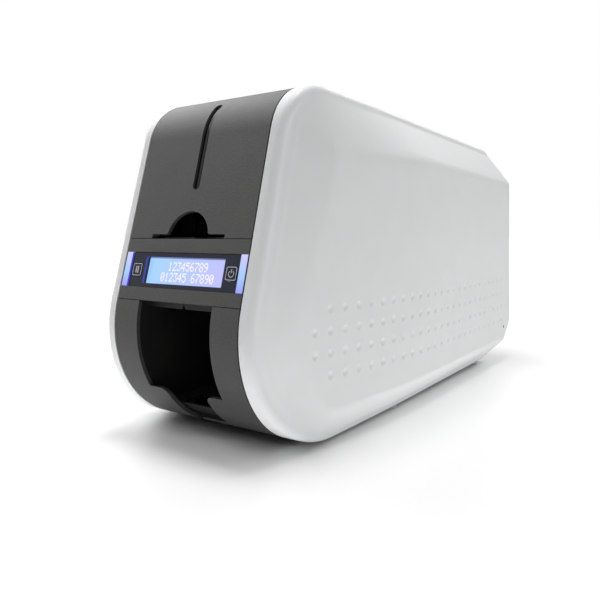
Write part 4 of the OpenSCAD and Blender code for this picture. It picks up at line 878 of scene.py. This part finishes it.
# --------------------------------------------------------------------
# Keys. Two square glossy keys, each with a fine pale printed frame and its symbol: two upright
# strokes for pause, and an open ring with a stroke for power.
INK = 0.05
KEY_FACE = PANEL_RECESS - 0.2
KEY_DEPTH = 2.4
STEM_HALF, STEM_END = 1.4, 4.0
FRAME_HALF, FRAME_ROUND, FRAME_LINE = 3.95, 1.1, 0.38
PAUSE_INNER, PAUSE_OUTER, PAUSE_HALF_HEIGHT = 0.45, 1.25, 2.2
RING_RADIUS, RING_LINE, RING_UP = 1.9, 0.42, -0.2
RING_START, RING_END, RING_STEPS = 125, 415, 30
STROKE_HALF, STROKE_LOW, STROKE_HIGH = 0.21, 0.2, 2.5
print_ink = finish_material("pale_ink", (0.60, 0.62, 0.65), 0.05, 0.4, 0.001, 0.000002, round_edge=0)


def ink_band(outer, inner, closed=True):
    """A printed line between two outlines with the same number of points."""
    count = len(outer)
    points = [(x, depth, up) for depth in (KEY_FACE - INK, KEY_FACE + INK)
              for line in (outer, inner) for x, up in line]
    faces = []
    if not closed:
        faces = [(0, count, 3 * count, 2 * count), (count - 1, 3 * count - 1, 4 * count - 1, 2 * count - 1)]
    for k in range(count if closed else count - 1):
        n = (k + 1) % count
        faces += [(k, n, n + count, k + count), (k + 2 * count, k + 3 * count, n + 3 * count, n + 2 * count),
                  (k, k + 2 * count, n + 2 * count, n), (k + count, n + count, n + 3 * count, k + 3 * count)]
    return points, faces


def ink_stroke(x0, x1, up0, up1):
    """A printed upright stroke."""
    middle = (x0 + x1) / 2
    return ink_band([(x0, up0), (x1, up0), (x1, up1), (x0, up1)],
                    [(middle, up0), (middle, up0), (middle, up1), (middle, up1)])


def inked(name, x, parts):
    """One piece from several printed parts, moved across to its key."""
    points, faces = [], []
    for part_points, part_faces in parts:
        faces += [tuple(i + len(points) for i in face) for face in part_faces]
        points += [(px + x, depth, up) for px, depth, up in part_points]
    piece = on_front(name, panel_mid, points, faces)
    face_out(piece, weld=True)
    return piece


inner_half = FRAME_HALF - FRAME_LINE
key_frame = ink_band(rounded_box(FRAME_HALF, FRAME_HALF, FRAME_ROUND),
                     rounded_box(inner_half, inner_half, FRAME_ROUND - FRAME_LINE))
pause_strokes = [ink_stroke(x0, x1, -PAUSE_HALF_HEIGHT, PAUSE_HALF_HEIGHT)
                 for x0, x1 in ((-PAUSE_OUTER, -PAUSE_INNER), (PAUSE_INNER, PAUSE_OUTER))]
power_lines = [arc(0, RING_UP, RING_RADIUS + shift, RING_START, RING_END, RING_STEPS)
               for shift in (RING_LINE / 2, -RING_LINE / 2)]
power_sign = [ink_band(*power_lines, closed=False),
              ink_stroke(-STROKE_HALF, STROKE_HALF, STROKE_LOW, STROKE_HIGH)]
for key, x, symbol in (("pause", -BUTTON_X, pause_strokes), ("power", BUTTON_X, power_sign)):
    cap = front_prism(key + "_cap", panel_mid, rounded_box(BUTTON / 2, BUTTON / 2, 1, x),
                      KEY_FACE, KEY_FACE + KEY_DEPTH)
    stem = front_prism(key + "_stem", panel_mid, rounded_box(STEM_HALF, STEM_HALF, 0.4, x),
                       KEY_FACE + KEY_DEPTH - 0.1, KEY_FACE + STEM_END)
    soften(cap, 0.15)
    select_only(cap, stem)
    bpy.ops.object.join()
    set_out(cap, panel_gloss, key + "_key", "panel_gloss", key + "_button")
    set_out(inked(key + "_ink", x, [key_frame, *symbol]), print_ink, key + "_key", "panel_gloss")

# --------------------------------------------------------------------
# Side shells. White moulded covers: a rounded rim along the grey centre, a soft valley behind it, then
# a side that swells towards the rear, with a sloping band along the top, a tucked band along the
# bottom, and four rows of shallow dimples.
SHELL_INNER = 51.8
SHELL_WALL = 2.5
RIM_RADIUS = 5.0
RIM_FRONT, RIM_TOP, RIM_BOTTOM = 61.2, 64.0, 68.0
TOP_SLOPE, TOP_SPREAD, BOTTOM_SLOPE = 36.5, 22.0, 20.0
BODY_HALF = (CAD_BOX[1][0] - CAD_BOX[0][0]) / MM / 2
FRONT_HALF = 60.5
FLARE_LENGTH = 195.0
FRONT_EASE_START, FRONT_EASE = 3.0, 12.0
FRONT_SLOPE_LOW, FRONT_SLOPE_RISE = 0.27, 0.00105
REAR_ROUND = 5.0
SOFTNESS = 0.7
VALLEY_DEPTH, VALLEY_PLACE, VALLEY_REACH = 0.8, 5.5, 6.0
DIMPLE_ROWS = (43.7, 57.2, 70.7, 84.2)
DIMPLE_STARTS = (1, 0, 0, 1)
DIMPLE_FIRST_Y, DIMPLE_PITCH, DIMPLE_LAST = 47.0, 13.5, 24
DIMPLE_RADIUS, DIMPLE_DEPTH = 2.4, 0.75
CHIN, BROW = corner_centre(0), corner_centre(1)


def soft_min(a, b, k):
    """The smaller of two values, rounded over where they are within k of each other."""
    h = np.maximum(k - np.abs(a - b), 0) / k
    return np.minimum(a, b) - h * h * k / 4


def blend(a, b, share):
    return a + (b - a) * np.clip(share, 0, 1)


def taper(y):
    """1 at the front, falling to 0 where the side has reached its full width."""
    return (1 - np.clip(y / FLARE_LENGTH, 0, 1)) ** 2


def panel_x(y):
    return BODY_HALF - (BODY_HALF - FRONT_HALF) * taper(y)


def rising_band(y, depth, start, slope):
    return np.minimum(start, panel_x(y)) + np.maximum(0, panel_x(y) - start) * depth / slope


def top_band(y, depth):
    return rising_band(y, depth, RIM_TOP, TOP_SLOPE + TOP_SPREAD * taper(y))


def bottom_band(y, depth):
    return rising_band(y, depth, RIM_BOTTOM, BOTTOM_SLOPE)


def front_band(z, depth):
    """Half width behind the front rim: a valley, then an eased rise that is steeper higher up."""
    valley = 0.5 + 0.5 * np.cos(math.pi * np.clip((depth - VALLEY_PLACE) / VALLEY_REACH, -1, 1))
    slope = FRONT_SLOPE_LOW + FRONT_SLOPE_RISE * z
    eased = np.clip(depth - FRONT_EASE_START, 0, FRONT_EASE)
    rise = eased ** 2 / (2 * FRONT_EASE) + np.maximum(0, depth - FRONT_EASE_START - FRONT_EASE)
    return RIM_FRONT + slope * rise - VALLEY_DEPTH * valley


def edge_depth(i, y, z):
    """Distance inwards from the edge of the outline that starts at a corner."""
    return edge_normal(i) @ (np.array(CORNERS[i][:2])[:, None] - np.array([y, z]))


def about(y, z, centre):
    """Distance back, up and away from a corner's centre."""
    back, up = y - centre[0], z - centre[1]
    return back, up, np.maximum(np.hypot(back, up), 1)


def edge_x(y, z):
    """Half width along the bands that run round the side, before the panel cuts them off."""
    plain = np.minimum(np.minimum(front_band(z, edge_depth(0, y, z)), top_band(y, edge_depth(1, y, z))),
                       bottom_band(y, edge_depth(5, y, z)))
    back, up, reach = about(y, z, CHIN)
    depth = CHIN_RADIUS - reach
    chin = blend(front_band(z, depth), bottom_band(y, depth), np.clip(-up / reach, 0, 1) ** 2)
    in_chin = (back * LEAN_SIN + up * LEAN_COS < 0) & (back < 0)
    back, up, reach = about(y, z, BROW)
    depth = BROW_RADIUS - reach
    brow = blend(front_band(z, depth), top_band(y, depth), (up / reach - LEAN_SIN) / (1 - LEAN_SIN))
    in_brow = (back * LEAN_SIN + up * LEAN_COS > 0) & (back < 0) & (up > 0)
    return np.where(in_chin, chin, np.where(in_brow, brow, plain))


def side_x(y, z):
    """Half width of the shell at points of its side, without the dimples."""
    rear = panel_x(y) - REAR_ROUND + (BODY_LENGTH - y)
    return soft_min(soft_min(edge_x(y, z), panel_x(y), SOFTNESS), rear, SOFTNESS)


def dimple_depth(y, z):
    """Depth of the dimples at points of the side."""
    depth = np.zeros_like(y)
    for height, first in zip(DIMPLE_ROWS, DIMPLE_STARTS):
        column = np.clip(np.round((y - DIMPLE_FIRST_Y) / DIMPLE_PITCH), first, DIMPLE_LAST)
        away = np.hypot(y - DIMPLE_FIRST_Y - column * DIMPLE_PITCH, z - height) / DIMPLE_RADIUS
        depth += DIMPLE_DEPTH * np.maximum(0, 1 - away ** 2)
    return depth


def arc_middle(i):
    return OUTLINE[i * ARC_ROWS + ARC_ROWS // 2, 0]


# Lengths along the outline at which its four stretches start, and the end of the last
STARTS = [arc_middle(i) for i in (0, 1, 3, 4, 6)]


def stretch(part, share, inset):
    """A point on one of the four stretches of the rim: front, top, rear, bottom."""
    return along(blend(STARTS[part], STARTS[part + 1], share), inset)


def filled(u, v, inset):
    """Smooth filling of the side outline: u from front to rear, v from bottom to top."""
    front, rear = stretch(0, v, inset), stretch(2, 1 - v, inset)
    top, bottom = stretch(1, u, inset), stretch(3, 1 - u, inset)
    low_front, high_front = stretch(0, np.zeros(1), inset), stretch(0, np.ones(1), inset)
    high_rear, low_rear = stretch(2, np.zeros(1), inset), stretch(2, np.ones(1), inset)
    return ((1 - u) * front + u * rear + (1 - v) * bottom + v * top
            - (1 - u) * (1 - v) * low_front - (1 - u) * v * high_front
            - u * v * high_rear - u * (1 - v) * low_rear)


# Shares of the height for the rows of the side: close together where the dimples are
UP = np.concatenate([np.linspace(0, 0.09, 7)[:-1], np.linspace(0.09, 0.44, 87)[:-1],
                     np.linspace(0.44, 1, 29)])
ACROSS = np.linspace(0, 1, 521)
INNER_STEP = 4
ROUND_STEPS = 8


def shell_layer(wall, across, heights):
    """Points of one skin of the right shell: rim rings first, then the rows of the side."""
    shares = (heights[:-1], across[:-1], 1 - heights[:0:-1], 1 - across[:0:-1])
    ring = np.concatenate([blend(STARTS[part], STARTS[part + 1], share)
                           for part, share in enumerate(shares)])
    crest = side_x(*along(ring, RIM_RADIUS))
    rings = [np.column_stack([np.full_like(ring, SHELL_INNER), *along(ring, wall)])]
    for turn in np.linspace(0, math.pi / 2, ROUND_STEPS + 1):
        place = along(ring, wall + (RIM_RADIUS - wall) * (1 - math.cos(turn)))
        x = crest - wall - (RIM_RADIUS - wall) * (1 - math.sin(turn))
        rings.append(np.column_stack([x, *place]))
    u, v = np.meshgrid(across[1:-1], heights[1:-1], indexing="ij")
    y, z = filled(u.ravel(), v.ravel(), RIM_RADIUS)
    x = side_x(y, z) - wall - (dimple_depth(y, z) if wall == 0 else 0)
    return np.concatenate(rings + [np.column_stack([x, y, z])])


def shell_faces(across, up):
    """Quads of one skin with so many columns and rows."""
    count = 2 * (across + up)
    rings = ROUND_STEPS + 2
    faces = []
    for r in range(rings - 1):
        for k in range(count):
            n = (k + 1) % count
            faces.append((r * count + k, r * count + n, (r + 1) * count + n, (r + 1) * count + k))
    edge = (rings - 1) * count
    inner = rings * count
    index = np.zeros((across + 1, up + 1), int)
    index[1:-1, 1:-1] = inner + np.arange((across - 1) * (up - 1)).reshape(across - 1, up - 1)
    index[0, :up] = edge + np.arange(up)
    index[:across, up] = edge + up + np.arange(across)
    index[across, up:0:-1] = edge + up + across + np.arange(up)
    index[across:0:-1, 0] = edge + 2 * up + across + np.arange(across)
    for i in range(across):
        for j in range(up):
            faces.append((index[i, j], index[i, j + 1], index[i + 1, j + 1], index[i + 1, j]))
    return [tuple(int(q) for q in face) for face in faces], count


def shell(name, side):
    """Fine outer skin, coarser inner skin and the lip that joins them along the grey centre."""
    across, heights = ACROSS[::INNER_STEP], UP[::INNER_STEP]
    outer, inner = shell_layer(0, ACROSS, UP), shell_layer(SHELL_WALL, across, heights)
    outer_faces, outer_count = shell_faces(len(ACROSS) - 1, len(UP) - 1)
    inner_faces, inner_count = shell_faces(len(across) - 1, len(heights) - 1)
    size = len(outer)
    points = np.concatenate([outer, inner])
    points[:, 0] *= side
    faces = outer_faces + [tuple(q + size for q in reversed(face)) for face in inner_faces]
    for k in range(inner_count):
        fine = [(INNER_STEP * k + step) % outer_count for step in range(INNER_STEP + 1)]
        faces.append((k + size, (k + 1) % inner_count + size, *reversed(fine)))
    return new_piece(name, points, faces)


white_abs = finish_material("white_moulded_plastic", (0.80, 0.812, 0.815), 0.008, 0.42, 0.0006,
                            0.000012, round_edge=0.5 * MM, specular=0.4)
for name, side in (("left_shell", -1), ("right_shell", 1)):
    skin = shell(name + "_skin", side)
    bpy.ops.object.shade_smooth_by_angle(angle=math.radians(60))
    set_out(skin, white_abs, "chassis", "white_shell", name)

# --------------------------------------------------------------------
# Side holes. A small round hole near the lower rear corner of each shell is drawn as a dark disc, flush
# with the side: the disc is painted shade, standing in for the dark inside of the hole.
HOLE_Y, HOLE_Z = 379.0, 35.0
HOLE_RADIUS, HOLE_DISC_PROUD, HOLE_DISC_DEPTH = 1.5, 0.03, 0.6
turn = np.linspace(0, 2 * math.pi, 24, endpoint=False)
hole_y, hole_z = HOLE_Y + HOLE_RADIUS * np.cos(turn), HOLE_Z + HOLE_RADIUS * np.sin(turn)
hole_x = side_x(hole_y, hole_z)
for name, side in (("left_hole_shade_disc", -1), ("right_hole_shade_disc", 1)):
    hole_disc_rows = [np.column_stack([side * (hole_x + rise), hole_y, hole_z]).tolist()
                 for rise in (-HOLE_DISC_DEPTH, HOLE_DISC_PROUD)]
    set_out(new_piece(name, *loft(hole_disc_rows)), black_moulding, "chassis", "black_plastic")

# --------------------------------------------------------------------
# Feet. Pale rubber buttons pressed in under the shells.
foot_rubber = finish_material("pale_foot_rubber", (0.55, 0.56, 0.56), 0.06, 0.6, 0.001, 0.00003)
dress(foot_rubber, "feet")
